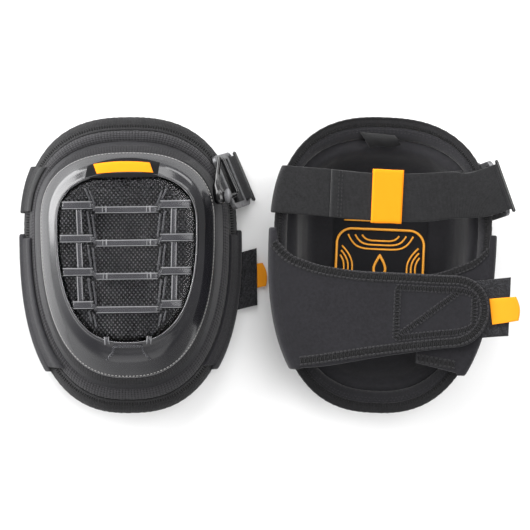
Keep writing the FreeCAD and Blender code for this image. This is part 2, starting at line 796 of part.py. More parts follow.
def make_wing_base(side):
    """The side wing's sewn end, as far as the pad's edge."""
    cut = [(60.0, 40.0), (110.0, 31.0), (110.0, -82.0), (50.0, -97.0)]
    return sewn_end(f"{side}_wing_base", size("wing_back"), size("wing_thickness"), cut)


def make_side_wing(side):
    """The short fabric wing that the lower strap closes onto."""
    edges = wing_outline()
    return behind(f"{side}_side_wing", edges, size("wing_back"), size("wing_thickness"))


def make_wing_binding(side):
    skin = 0.5
    near = -size("wing_back") - size("wing_thickness") - 0.1
    full = prism(f"{side}_wing_tape", wing_outline(0.2), near - skin, near)
    core = prism(f"{side}_wing_tape_core", wing_outline(8.0), near - 1.0, near + 1.0)
    ring = combine("Part::Cut", f"{side}_wing_tape_ring", full, core)
    clip = [(34.0, 60.0), (34.0, -110.0), (74.0, -110.0), (74.0, 60.0)]
    keep = polygon(f"{side}_wing_tape_keep", clip, near - 2.0, near + 2.0)
    return combine("Part::Common", f"{side}_wing_binding", ring, keep)


# ---------------------------------------------------------------- both pads

WRAP_LIFT = {"left": 22.0, "right": 0.0}


def make_pad(side):
    """All the sub-parts of one pad in its own frame, by node name."""
    lift = WRAP_LIFT[side]
    makers = [
        make_cap,
        make_grip_insert,
        make_label_plate,
        make_label_strip,
        make_outer_cover,
        make_foam_core,
        make_rim_band,
        make_edge_binding,
        make_liner_border,
        make_liner,
        make_gel_pad,
        make_gel_panel,
        make_panel_print,
        make_hang_loop,
        make_strap_base,
        make_upper_strap,
        make_strap_tail,
        make_strap_keeper,
        make_buckle_frame,
        make_buckle_hook,
        make_buckle_knob,
        make_buckle_anchor,
        make_wing_base,
        make_side_wing,
        make_wing_binding,
        make_wrap_base,
    ]
    pieces = [maker(side) for maker in makers]
    pieces += [
        make_wrap_strap(side, lift),
        make_wrap_binding(side, lift),
        make_hook_patch(side, lift),
        make_pull_tab(side, lift),
    ]
    return pieces


def put_down(side, piece):
    """Lays a piece on the floor with its pad and gives it its node's name."""
    turn = Rotation(Vector(0, 0, 1), size(f"{side}_turn"))
    half = size("pad_spacing") / 2
    if side == "left":
        place = Placement(Vector(-half - size("row_shift"), 0, size("strap_stack")), turn)
        piece.Placement = place.multiply(piece.Placement)
        final = piece
    else:
        final = doc.addObject("Part::Mirroring", f"{piece.Name}_mirrored")
        final.Source = piece
        final.Base = Vector(0, 0, 0)
        final.Normal = Vector(0, 0, 1)
        final.Placement = Placement(Vector(half - size("row_shift"), 0, size("front_plane")), turn)
    node = piece.Name
    piece.Label = f"{node}_drawn"
    final.Label = node
    return final


def check(pieces):
    """Stops if an object failed or a sub-part is not a sound solid."""
    for item in doc.Objects:
        if "Invalid" in item.State or "Error" in item.State:
            raise ValueError(f"{item.Label} failed: {item.State}")
    for piece in pieces:
        shape = piece.Shape
        if shape.isNull() or not shape.isValid() or shape.Volume <= 0 or not shape.Solids:
            raise ValueError(f"{piece.Label} is not a sound solid")


def write(pieces):
    os.makedirs("parts", exist_ok=True)
    for piece in pieces:
        piece.Shape.exportStep(f"parts/{piece.Label}.step")


def main():
    pieces = []
    for side in ("left", "right"):
        drawn = make_pad(side)
        doc.recompute()
        pieces += [put_down(side, piece) for piece in drawn]
    doc.recompute()
    check(pieces)
    write(pieces)
    whole = FreeCAD.BoundBox()
    for piece in pieces:
        whole.add(piece.Shape.optimalBoundingBox())
    print(len(pieces), "sub-parts", whole)


main()
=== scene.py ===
import json
import math
from collections import namedtuple

import bmesh
import bpy
import numpy as np
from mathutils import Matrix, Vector

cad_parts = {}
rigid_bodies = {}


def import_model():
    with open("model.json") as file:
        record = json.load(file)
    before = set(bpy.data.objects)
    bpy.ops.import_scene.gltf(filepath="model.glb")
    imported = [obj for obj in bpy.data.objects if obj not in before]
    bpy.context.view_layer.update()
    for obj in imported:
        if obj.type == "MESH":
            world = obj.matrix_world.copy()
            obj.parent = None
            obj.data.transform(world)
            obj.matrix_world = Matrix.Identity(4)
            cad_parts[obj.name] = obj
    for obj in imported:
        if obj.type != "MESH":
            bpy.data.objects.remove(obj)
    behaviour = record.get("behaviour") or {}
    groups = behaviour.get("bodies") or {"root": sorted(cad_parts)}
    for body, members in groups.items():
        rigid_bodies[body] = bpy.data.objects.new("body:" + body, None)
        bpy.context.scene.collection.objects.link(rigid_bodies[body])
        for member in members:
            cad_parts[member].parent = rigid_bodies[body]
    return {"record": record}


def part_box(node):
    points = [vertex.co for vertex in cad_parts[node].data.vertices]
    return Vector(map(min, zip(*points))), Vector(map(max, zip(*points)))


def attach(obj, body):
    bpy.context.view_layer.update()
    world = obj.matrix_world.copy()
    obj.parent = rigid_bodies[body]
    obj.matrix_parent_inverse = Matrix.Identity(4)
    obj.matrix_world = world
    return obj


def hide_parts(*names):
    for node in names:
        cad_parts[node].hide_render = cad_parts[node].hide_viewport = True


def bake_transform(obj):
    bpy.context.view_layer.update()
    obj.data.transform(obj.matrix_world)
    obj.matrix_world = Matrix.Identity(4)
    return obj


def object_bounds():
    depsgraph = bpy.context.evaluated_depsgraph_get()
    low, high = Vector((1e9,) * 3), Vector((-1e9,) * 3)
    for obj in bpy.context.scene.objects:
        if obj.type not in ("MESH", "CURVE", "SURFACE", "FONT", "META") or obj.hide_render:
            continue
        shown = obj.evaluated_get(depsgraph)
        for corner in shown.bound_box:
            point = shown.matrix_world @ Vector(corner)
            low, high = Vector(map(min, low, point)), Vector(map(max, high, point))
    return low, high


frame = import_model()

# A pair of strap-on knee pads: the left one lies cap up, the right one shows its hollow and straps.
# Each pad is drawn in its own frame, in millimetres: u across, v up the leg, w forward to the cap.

CAD_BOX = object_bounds()
RECORD = frame["record"]
MM = 0.001
TINY = 1e-9
EGG_POWER = 2.5  # the outlines are superellipses of this power
ROUND = 288  # points round a ring
CAP_FACE = (0.0, 34.0, 72.0)  # where the record's cap face stands in the pad's frame

# ---- the pads' frames


class Pad:
    """One pad's own frame, read from the record's mounts and joints."""

    def __init__(self, side):
        mounts = {m["name"]: m for m in RECORD["mounts"]}
        joints = {j["name"]: j for j in RECORD["behaviour"]["joints"]}
        face = mounts[f"{side}_cap_face"]
        forward = 1.0 if face["axis"][2] > 0 else -1.0
        up = Vector(joints[f"{side}_upper_strap_open"]["axis"]) * forward
        self.side = side
        self.axes = np.array([(up.y, -up.x, 0), tuple(up), (0, 0, forward)])
        self.origin = np.array(face["pos_m"]) - np.array(CAP_FACE) * MM @ self.axes
        self.bar = self.local(joints[f"{side}_buckle_frame_swing"]["pos_m"])
        self.tab = self.local(joints[f"{side}_pull_tab_flex"]["pos_m"])

    def place(self, points):
        """World positions of points in the pad's frame."""
        return self.origin + np.asarray(points, float) * MM @ self.axes

    def local(self, positions):
        """Points in the pad's frame at world positions."""
        return (np.array(positions) - self.origin) @ self.axes.T / MM

    def node(self, name):
        return f"{self.side}_{name}"


# ---- rings and profiles

Ring = namedtuple("Ring", "half_width centre top bottom w_side w_end")

# Each outline: half width, centre, top and bottom.
OUTLINE = (92.0, 25.0, 126.5, -126.5)
CAP = (74.0, 36.0, 95.5, -95.5)
WINDOW = (58.5, 34.0, 76.5, -64.0)
MIDDLE = (0.0, 34.0, 34.0, 34.0)
STOPS = np.array([OUTLINE, CAP, WINDOW, MIDDLE])

# Shares run from the outer edge (0) over the cap's edge (1) and the window's edge (2) to the
# middle (3); each comes with its height at the sides and at the top and bottom.
FRONT = np.array([
    (0.04, 3.0, 32.0), (0.36, 17.0, 40.0), (0.70, 33.0, 44.0), (0.86, 44.0, 51.5),
    (1.00, 52.5, 57.0), (1.15, 57.5, 60.5), (1.50, 65.0, 67.0), (1.92, 69.8, 70.0),
    (2.06, 71.6, 71.6), (2.20, 72.0, 72.0), (3.00, 72.0, 72.0),
])
BACK = np.array([
    (0.00, 0.6, 30.2), (0.50, 6.0, 33.0), (0.90, 22.0, 40.0), (1.50, 42.0, 48.5),
    (1.80, 50.0, 51.5), (1.95, 52.0, 52.0), (3.00, 52.0, 52.0),
])


def plan(share):
    """Half width, centre, top and bottom of the outline at shares of the way in."""
    share = np.asarray(share, float)
    i = np.minimum(share.astype(int), 2)
    return STOPS[i] + (STOPS[i + 1] - STOPS[i]) * (share - i)[..., None]


def heights(profile, share):
    """(w at the sides, w at the ends), on a smooth line through the profile's entries."""
    soft = [share - 0.06, share, share + 0.06]
    values = (np.interp(soft, profile[:, 0], profile[:, k]) for k in (1, 2))
    return tuple(float(np.dot(three, (0.25, 0.5, 0.25))) for three in values)


def slope(profile, share, end):
    """The outward normal (outward, forward) at the profile's sides or ends."""
    (x0, w0), (x1, w1) = [(plan(np.clip(t, 0, 3))[2 if end else 0], heights(profile, t)[end])
                          for t in (share - 0.04, share + 0.04)]
    length = math.hypot(x1 - x0, w1 - w0)
    return (w1 - w0) / length, (x0 - x1) / length


def on(profile, share, depth=0.0):
    """The ring at a share of a profile, sunk below it by a depth."""
    half_width, centre, top, bottom = plan(share)
    w_side, w_end = heights(profile, share)
    side, end = slope(profile, share, 0), slope(profile, share, 1)
    return Ring(half_width - depth * side[0], centre, top - depth * end[0], bottom + depth * end[0],
                w_side - depth * side[1], w_end - depth * end[1])


def all_on(profile, section):
    """The rings at (share, depth) pairs."""
    return [on(profile, share, depth) for share, depth in section]


def edge(outward, w_side, w_end):
    """A ring that follows the pad's outer edge, a distance outside it."""
    half_width, centre, top, bottom = OUTLINE
    return Ring(half_width + outward, centre, top + outward, bottom - outward, w_side, w_end)


def ring_points(ring, angles):
    """Points of a ring at angles, in the pad's frame."""
    c, s = np.cos(angles), np.sin(angles)
    power = 2 / EGG_POWER
    reach = np.where(s >= 0, ring.top - ring.centre, ring.centre - ring.bottom)
    u = ring.half_width * np.sign(c) * np.abs(c) ** power
    v = ring.centre + reach * np.sign(s) * np.abs(s) ** power
    return np.stack([u, v, ring.w_side + (ring.w_end - ring.w_side) * s * s], axis=-1)


def side_points(ring, v, hand):
    """Where a ring stands at heights v, on its left (-1) or right (+1) side."""
    reach = np.where(v >= ring.centre, ring.top - ring.centre, ring.centre - ring.bottom)
    s = np.clip(np.abs(v - ring.centre) / reach, 0, 0.999) ** (EGG_POWER / 2)
    u = hand * ring.half_width * np.sqrt(1 - s * s) ** (2 / EGG_POWER)
    return np.stack([u, v, ring.w_side + (ring.w_end - ring.w_side) * s * s], axis=-1)


def run_of(path):
    """The length run along a path up to each of its points."""
    return np.concatenate([[0], np.cumsum(np.linalg.norm(np.diff(path, axis=0), axis=-1))])


def unit(vectors):
    return vectors / np.maximum(np.linalg.norm(vectors, axis=-1, keepdims=True), TINY)


def even_angles(count=ROUND):
    """Angles that stand evenly spaced along the pad's edge."""
    fine = np.linspace(0, 2 * math.pi, 4001)
    run = run_of(ring_points(edge(0, 0, 0), fine))
    return np.interp(np.linspace(0, run[-1], count, endpoint=False), run, fine)


ANGLES = even_angles()


def reach_at(outline, v):
    """How far outlines reach from their centres, up or down as v lies."""
    centre, top, bottom = outline[..., 1], outline[..., 2], outline[..., 3]
    return np.where(v >= centre, top - centre, centre - bottom)


def share_at(u, v):
    """The share of the way in at plan points, found by halving."""
    low, high = np.zeros_like(u), np.full_like(u, 2.999)
    for _ in range(24):
        middle = (low + high) / 2
        at = plan(middle)
        size = (np.abs(u) / at[..., 0]) ** EGG_POWER + (np.abs(v - at[..., 1]) / reach_at(at, v)) ** EGG_POWER
        low = np.where(size < 1, middle, low)
        high = np.where(size < 1, high, middle)
    return low


def height_at(profile, u, v):
    """A profile's w at plan points."""
    share = share_at(u, v)
    stations = np.linspace(0, 3, 121)
    table = np.array([heights(profile, t) for t in stations])
    w_side, w_end = (np.interp(share, stations, table[:, k]) for k in (0, 1))
    at = plan(share)
    s = np.clip(np.abs(v - at[..., 1]) / np.maximum(reach_at(at, v), 1e-6), 0, 1) ** EGG_POWER
    return w_side + (w_end - w_side) * s


def smooth_rings(rings, steps, closed=False):
    """More rings between the given ones, on a smooth line through them."""
    values = np.array(rings + rings[:1] if closed else rings)
    last = len(values) - 1
    out = []
    for i in range(last):
        p0, p1, p2, p3 = (values[k] for k in (max(i - 1, 0), i, i + 1, min(i + 2, last)))
        for t in np.linspace(0, 1, steps, endpoint=False):
            out.append(0.5 * (2 * p1 + (p2 - p0) * t + (2 * p0 - 5 * p1 + 4 * p2 - p3) * t * t
                              + (3 * p1 - p0 - 3 * p2 + p3) * t ** 3))
    if not closed:
        out.append(values[-1])
    return [Ring(*row) for row in out]


# ---- meshes


def cells(rows, cols, wrap_rows, wrap_cols):
    """The row and column numbers of a grid's faces."""
    return np.meshgrid(np.arange(rows - (not wrap_rows)), np.arange(cols - (not wrap_cols)), indexing="ij")


def quads_of(corners, width):
    """Faces from the (row, column) numbers of their corners."""
    return np.stack([r * width + c for r, c in corners], axis=-1).reshape(-1, 4)


def uvs_of(corners, row_run, col_run):
    """The corners' places in the texture run."""
    return np.stack([np.stack([row_run[r], col_run[c]], axis=-1) for r, c in corners], axis=2).reshape(-1, 2)


def new_piece(pad, name, points, quads, uvs, look, weld=1e-6):
    """A smooth mesh object from points in the pad's frame, with its texture run in millimetres."""
    mesh = bpy.data.meshes.new(name)
    mesh.from_pydata(pad.place(points.reshape(-1, 3)).tolist(), [], quads.tolist())
    mesh.uv_layers.new(name="cloth_run").data.foreach_set("uv", np.asarray(uvs, float).ravel())
    mesh.materials.append(LOOKS[look])
    piece = bpy.data.objects.new(pad.node(name), mesh)
    bpy.context.scene.collection.objects.link(piece)
    bm = bmesh.new()
    bm.from_mesh(mesh)
    bmesh.ops.remove_doubles(bm, verts=bm.verts, dist=weld)
    bmesh.ops.dissolve_degenerate(bm, edges=bm.edges, dist=weld)
    bmesh.ops.recalc_face_normals(bm, faces=bm.faces)
    for face in bm.faces:
        face.smooth = True
    bm.to_mesh(mesh)
    bm.free()
    return piece


def grid_piece(pad, name, points, look, wrap_rows=False):
    """A piece through a grid of points whose rows close, with the texture run along both ways."""
    rows, cols = points.shape[:2]
    r, c = cells(rows, cols, wrap_rows, True)
    r2, c2 = (r + 1) % rows, (c + 1) % cols
    steps = [np.linalg.norm(np.roll(points, -1, axis=k) - points, axis=2).mean(axis=1 - k) for k in (0, 1)]
    row_run, col_run = (np.concatenate([[0], np.cumsum(step)]) for step in steps)
    uvs = uvs_of([(r, c), (r, c + 1), (r + 1, c + 1), (r + 1, c)], row_run, col_run)[:, ::-1]
    return new_piece(pad, name, points, quads_of([(r, c), (r, c2), (r2, c2), (r2, c)], cols), uvs, look)


def ring_piece(pad, name, rings, look, shape=None):
    """A closed piece through rings; shape(points) may push its points about."""
    points = np.array([ring_points(ring, ANGLES) for ring in rings])
    return grid_piece(pad, name, shape(points) if shape else points, look, wrap_rows=True)


def spread(length, step, edge_round):
    """Places along a length, closer together where its ends are rounded."""
    near = np.array([0.0, 0.12, 0.4, 1.0]) * edge_round
    count = max(2, int((length - 2 * edge_round) / step))
    middle = np.linspace(edge_round, length - edge_round, count + 1)[1:-1]
    return np.concatenate([near, middle, length - near[::-1]]) / length


def swell(places, length, edge_round):
    """1 inside and falling to 0 at both ends, as a round edge does."""
    inward = np.clip(np.minimum(places, 1 - places) * length / edge_round, 0, 1)
    return np.sqrt(1 - (1 - inward) ** 2)


def sheet_piece(pad, name, middle, thickness, look, rows, cols, lengths):
    """A flat piece with rounded edges about a middle grid of points."""
    normals = unit(np.cross(np.gradient(middle, axis=0), np.gradient(middle, axis=1)))
    swelling = np.outer(swell(rows, lengths[0], thickness / 2), swell(cols, lengths[1], thickness / 2))
    offset = normals * (thickness / 2 * swelling)[..., None]
    r, c = cells(len(rows), len(cols), False, False)
    corners = [(r, c), (r + 1, c), (r + 1, c + 1), (r, c + 1)]
    quads = [quads_of(corners, len(cols)), quads_of(corners[::-1], len(cols)) + len(rows) * len(cols)]
    uvs = [uvs_of(order, rows * lengths[0], cols * lengths[1]) for order in (corners, corners[::-1])]
    points = np.stack([middle + offset, middle - offset])
    return new_piece(pad, name, points, np.concatenate(quads), np.concatenate(uvs), look, 1e-5)


def flat_piece(pad, name, low, high, u_range, w, thickness, look, step=2.0, lean=0.0):
    """A flat piece whose edges are low(u) and high(u), at a height w(u, v), with leaning ends."""
    length = u_range[1] - u_range[0]
    width = float(np.mean([high(u) - low(u) for u in np.linspace(*u_range, 9)]))
    rows, cols = (spread(size, step, thickness / 2) for size in (length, width))
    u = u_range[0] + rows * length
    lows, highs = (np.array([line(x) for x in u])[:, None] for line in (low, high))
    v = lows + (highs - lows) * cols[None, :]
    u = np.repeat(u[:, None], len(cols), axis=1) + lean * (cols - 0.5)[None, :]
    middle = np.stack([u, v, w(u, v)], axis=-1)
    return sheet_piece(pad, name, middle, thickness, look, rows, cols, (length, width))


def level(w):
    """A height that is the same everywhere, for flat_piece."""
    return lambda u, v: np.full_like(u, w)


BEAD = ((-1.0, 0.0), (-0.86, 0.62), (-0.4, 1.0), (0.4, 1.0), (0.86, 0.62), (1.0, 0.0))  # place, radius
BEAD_SIDES = 6


def beads(pad, centres, runs, sizes, look):
    """Small rounded rods, such as stitches, in one piece; sizes are half length, width, height."""
    turn = np.linspace(0, 2 * math.pi, BEAD_SIDES, endpoint=False)
    flat = np.array([(x, r * math.cos(a), r * math.sin(a)) for x, r in BEAD for a in turn])
    runs = unit(runs)
    sides = unit(np.cross((0.0, 0.0, 1.0), runs))
    axes = (runs, sides, np.cross(runs, sides))
    points = centres[:, None] + sum(flat[None, :, k:k + 1] * sizes[k] * axes[k][:, None] for k in range(3))
    r, c = cells(len(BEAD), BEAD_SIDES, False, True)
    c2 = (c + 1) % BEAD_SIDES
    quad = quads_of([(r, c), (r, c2), (r + 1, c2), (r + 1, c)], BEAD_SIDES)
    quads = (quad[None] + (np.arange(len(centres)) * len(flat))[:, None, None]).reshape(-1, 4)
    uvs = np.tile(np.stack([c, r], axis=-1).reshape(-1, 2).repeat(4, axis=0), (len(centres), 1))
    return new_piece(pad, "beads", points, quads, uvs, look, 1e-7)


NEARBY = 0.3  # how far ahead and behind a path's direction is read


def resample(path, step, closed=False):
    """Even places along a path: (points, runs)."""
    path = np.asarray(path, float)
    if closed:
        path = np.concatenate([path, path[:1]])
    run = run_of(path)
    places = np.linspace(0, run[-1], max(2, int(round(run[-1] / step))), endpoint=not closed)

    def at(where):
        return np.stack([np.interp(where, run, path[:, k]) for k in range(3)], axis=-1)

    ahead = (places + NEARBY) % run[-1] if closed else np.minimum(places + NEARBY, run[-1])
    return at(places), at(ahead) - at(np.maximum(places - NEARBY, 0)) + TINY


def stitch_row(pad, path, step=3.2, half=1.1, thick=0.32, closed=False, zigzag=0.0, look="thread"):
    """Stitches along a path; zigzag swings them from side to side."""
    points, runs = resample(path, step, closed)
    runs[np.linalg.norm(runs, axis=1) < 1e-6] = (1, 0, 0)
    runs = unit(runs)
    if zigzag:
        swing = np.where(np.arange(len(points)) % 2 == 0, 1.0, -1.0)[:, None]
        runs = runs * step * 0.5 + np.cross((0.0, 0.0, 1.0), runs) * zigzag * swing
    return beads(pad, points, runs, (half, thick, thick), look)


def tick_row(pad, path, step=2.2, half=2.5, thick=0.55, closed=True):
    """Short dark stitches that stand across a path, side by side."""
    points, runs = resample(path, step, closed)
    return beads(pad, points, np.cross((0.0, 0.0, 1.0), unit(runs)), (half, thick, thick), "tick")


def circles(runs, sides, flatten=1.0):
    """Unit circles that stand across a path's runs."""
    across = unit(np.cross((0.0, 0.0, 1.0), runs))
    turn = np.linspace(0, 2 * math.pi, sides, endpoint=False)[None, :, None]
    return np.cos(turn) * across[:, None] + flatten * np.sin(turn) * np.cross(runs, across)[:, None]


def tube(pad, path, radius, look, closed=False, flatten=1.0):
    """A round bar or bead of print along a path."""
    path = np.asarray(path, float)
    runs = np.roll(path, -1, axis=0) - np.roll(path, 1, axis=0) if closed else np.gradient(path, axis=0)
    ring = circles(unit(runs), 8, flatten)
    points = path[:, None] + radius * ring
    if not closed:
        ends = [path[None, k].repeat(8, 0)[None] for k in (0, -1)]
        points = np.concatenate([ends[0], points, ends[1]])
    return grid_piece(pad, "tube", points, look, wrap_rows=closed)


def rod(pad, name, path, radii, look, sides=14):
    """A round rod along a path, from a list of its radii at even places, with round ends."""
    places = np.linspace(0, 1, len(path))
    radius = np.interp(places, np.linspace(0, 1, len(radii)), radii)
    length = run_of(path)[-1]
    ends = np.clip(np.minimum(places * length / radii[0], (1 - places) * length / radii[-1]), 0, 1)
    radius = radius * np.maximum(np.sqrt(1 - (1 - ends) ** 2), 0.02)
    ring = circles(unit(np.gradient(path, axis=0)), sides)
    return grid_piece(pad, name, path[:, None] + ring * radius[:, None, None], look)


# ---- settling pieces


def settle(piece, pad, body, slot, *nodes):
    """Makes a piece ride on a body and stand for CAD nodes; its slot is not used."""
    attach(piece, pad.node(body))
    if nodes:
        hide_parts(*[pad.node(n) for n in nodes])
    return piece


def settle_joined(pieces, pad, name, body, slot, *nodes):
    """Makes one piece of several of one pad, and settles it."""
    bm = bmesh.new()
    for piece in pieces:
        bm.from_mesh(piece.data)
    first = pieces[0]
    bm.to_mesh(first.data)
    bm.free()
    for piece in pieces[1:]:
        mesh = piece.data
        bpy.data.objects.remove(piece)
        bpy.data.meshes.remove(mesh)
    first.name = pad.node(name)
    return settle(first, pad, body, slot, *nodes)


def across_joint(piece, pad, body, slot, start, end, *nodes):
    """Bakes a piece's place into its mesh and hides the CAD nodes it stands for."""
    start, end = (tuple(pad.place(p)) for p in (start, end))
    pad.node("pad")
    pad.node(body)
    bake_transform(piece)
    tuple(start)
    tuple(end)
    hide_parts(*[pad.node(n) for n in nodes])


# ---- materials


def shade(colour, factor):
    return tuple(min(1.0, c * factor) for c in colour)


class Shader:
    """A small builder for one procedural material."""

    def __init__(self, name, **values):
        self.material = bpy.data.materials.new(name)
        self.material.use_nodes = True
        self.tree = self.material.node_tree
        self.surface = self.tree.nodes["Principled BSDF"]
        for socket, value in values.items():
            self.surface.inputs[socket.replace("_", " ")].default_value = value

    def node(self, kind, inputs=(), **settings):
        node = self.tree.nodes.new(kind)
        for key, value in settings.items():
            setattr(node, key, value)
        for key, value in dict(inputs).items():
            if isinstance(value, bpy.types.NodeSocket):
                self.tree.links.new(value, node.inputs[key])
            else:
                node.inputs[key].default_value = value
        return node

    def run(self, pitch):
        """The cloth run, scaled so that one thread is one unit."""
        uv = self.node("ShaderNodeUVMap", uv_map="cloth_run").outputs["UV"]
        scale = (1 / pitch[0], 1 / pitch[1], 1.0)
        run = self.node("ShaderNodeMapping", {"Vector": uv, "Scale": scale}).outputs["Vector"]
        parts = self.node("ShaderNodeSeparateXYZ", {0: run})
        return parts.outputs["X"], parts.outputs["Y"]

    def place(self, scale):
        where = self.node("ShaderNodeTexCoord").outputs["Object"]
        return self.node("ShaderNodeMapping", {"Vector": where, "Scale": (scale,) * 3}).outputs["Vector"]

    def noise(self, scale, detail=4.0, rough=0.6):
        inputs = {"Vector": self.place(scale), "Scale": 1.0, "Detail": detail, "Roughness": rough}
        return self.node("ShaderNodeTexNoise", inputs).outputs["Fac"]

    def math(self, operation, a, b=0.0, c=0.0):
        return self.node("ShaderNodeMath", {0: a, 1: b, 2: c}, operation=operation).outputs[0]

    def threads(self, pitch):
        """Two sets of crossing threads, as a height from 0 to 1."""
        waves = [self.math("ABSOLUTE", self.math("SINE", self.math("MULTIPLY", along, math.pi)))
                 for along in self.run(pitch)]
        return self.math("POWER", self.math("MULTIPLY", *waves), 0.6)

    def ramp(self, fac, low, high, start=0.0, end=1.0):
        """Colours the surface between two colours."""
        node = self.node("ShaderNodeValToRGB", {"Fac": fac})
        for element, position, colour in zip(node.color_ramp.elements, (start, end), (low, high)):
            element.position = position
            element.color = (*colour, 1)
        self.tree.links.new(node.outputs["Color"], self.surface.inputs["Base Color"])

    def tint(self, fac, colour, span, reach):
        """Colours the surface between a darker and a lighter shade of a colour."""
        self.ramp(fac, shade(colour, span[0]), shade(colour, span[1]), *reach)

    def roughness(self, fac, low, high):
        rough = self.node("ShaderNodeMapRange", {"Value": fac, "To Min": low, "To Max": high})
        self.tree.links.new(rough.outputs[0], self.surface.inputs["Roughness"])

    def bump(self, *layers):
        """Bump from (height, strength, distance in mm) layers, one on top of the other."""
        normal = None
        for height, strength, distance in layers:
            inputs = {"Height": height, "Strength": strength, "Distance": distance * MM}
            if normal:
                inputs["Normal"] = normal
            normal = self.node("ShaderNodeBump", inputs).outputs["Normal"]
        self.tree.links.new(normal, self.surface.inputs["Normal"])
        return self.material


def cloth(name, colour, pitch, contrast=0.5, relief=0.35, sheen=0.12, fuzz=0.25, span=(0.45, 1.6),
          reach=(0.1, 0.95)):
    """Woven fabric: crossing threads, uneven dye and a little fluff."""
    s = Shader(name, Roughness=0.9, Sheen_Weight=sheen, Sheen_Roughness=0.5, Specular_IOR_Level=0.25)
    weave, patches, fluff = s.threads(pitch), s.noise(26.0, 3.0), s.noise(330.0, 6.0, 0.85)
    mixed = s.math("MULTIPLY_ADD", fluff, fuzz, s.math("MULTIPLY", weave, contrast))
    s.tint(s.math("MULTIPLY_ADD", patches, 0.25, mixed), colour, span, reach)
    return s.bump((weave, 0.9, relief), (fluff, 0.5, 0.3))


def webbing(name, colour, rib=1.1):
    """Elastic webbing: fine ribs across its run, with a speckle of lighter yarn."""
    s = Shader(name, Roughness=0.88, Sheen_Weight=0.12, Sheen_Roughness=0.45, Specular_IOR_Level=0.2)
    ribs, speckle, patches = s.threads((rib, 0.7)), s.noise(380.0, 6.0, 0.9), s.noise(30.0, 2.0)
    mixed = s.math("MULTIPLY_ADD", speckle, 0.75, s.math("MULTIPLY", ribs, 0.3))
    s.tint(s.math("MULTIPLY_ADD", patches, 0.12, mixed), colour, (0.25, 1.9), (0.4, 0.85))
    return s.bump((ribs, 0.8, 0.3), (speckle, 0.5, 0.2))


def moulded(name, colour, roughness, coat=0.3):
    """Moulded plastic: slight ripple, with dust and fine wear."""
    s = Shader(name, Coat_Weight=coat, Coat_Roughness=0.12)
    ripple, wear = s.noise(180.0, 3.0), s.noise(900.0, 4.0, 0.7)
    s.tint(wear, colour, (0.8, 1.35), (0.35, 0.75))
    s.roughness(ripple, roughness * 0.8, roughness * 1.25)
    return s.bump((ripple, 0.15, 0.3), (wear, 0.12, 0.05))


def clear(name, colour, rough, flow_scale, span, relief, **values):
    """Clear moulded plastic, with faint flow marks and scuffs."""
    s = Shader(name, **values)
    flow, scuffs = s.noise(flow_scale, 2.0), s.noise(420.0, 5.0, 0.7)
    s.tint(flow, colour, span, (0.3, 0.7))
    s.roughness(scuffs, *rough)
    return s.bump((flow, relief[0], 0.5), (scuffs, *relief[1:]))


def window_plastic(name, colour, transmission, roughness, ior, relief, coat, specular=0.5):
    """The clear plastic of the window and its bars."""
    return clear(name, colour, (roughness * 0.6, roughness * 1.6), 35.0, (0.85, 1.1),
                 (relief, 0.2 * relief, 0.1), Transmission_Weight=transmission, IOR=ior, Coat_Weight=coat,
                 Coat_Roughness=0.05, Specular_IOR_Level=specular)


def dotted_mesh(name):
    """Black mesh with light dots in a diamond grid, behind the window."""
    s = Shader(name, Roughness=0.55, Specular_IOR_Level=0.4)
    dots = []
    run = s.run((3.5, 4.2))
    for shift in (0.0, 0.5):
        squares = []
        for along in run:
            away = s.math("SUBTRACT", s.math("FRACT", s.math("ADD", along, shift)), 0.5)
            squares.append(s.math("MULTIPLY", away, away))
        dots.append(s.math("SUBTRACT", 1.0, s.math("MULTIPLY", s.math("ADD", *squares), 17.0)))
    dot = s.math("MAXIMUM", s.math("MAXIMUM", *dots), 0.0)
    s.ramp(dot, (0.001, 0.001, 0.002), (0.085, 0.085, 0.088), 0.15, 0.85)
    return s.bump((dot, 0.8, 0.8))


def hook_tape(name, colour):
    """Coarse hook tape: a dense field of small tufts."""
    s = Shader(name, Roughness=0.95, Sheen_Weight=0.2, Specular_IOR_Level=0.2)
    tufts = s.node("ShaderNodeTexVoronoi", {"Vector": s.place(900.0), "Scale": 1.0}).outputs["Distance"]
    patches = s.noise(300.0, 4.0, 0.7)
    s.tint(s.math("MULTIPLY", tufts, patches), colour, (0.4, 2.4), (0.1, 0.5))
    return s.bump((tufts, 1.0, 0.8), (patches, 0.6, 0.6))


def brushed(name, colour):
    """Grey metal with a fine brushed grain and worn, lighter patches."""
    s = Shader(name, Metallic=0.55, Roughness=0.38)
    s.tint(s.noise(240.0, 4.0), colour, (0.75, 1.5), (0.4, 0.7))
    return s.bump((s.noise(1400.0, 2.0, 0.8), 0.25, 0.08))


def thread(name, colour):
    return cloth(name, colour, (0.5, 0.5), 0.5, 0.1)


YELLOW = (1.0, 0.285, 0.003)
LIGHT_YELLOW = (1.0, 0.35, 0.012)

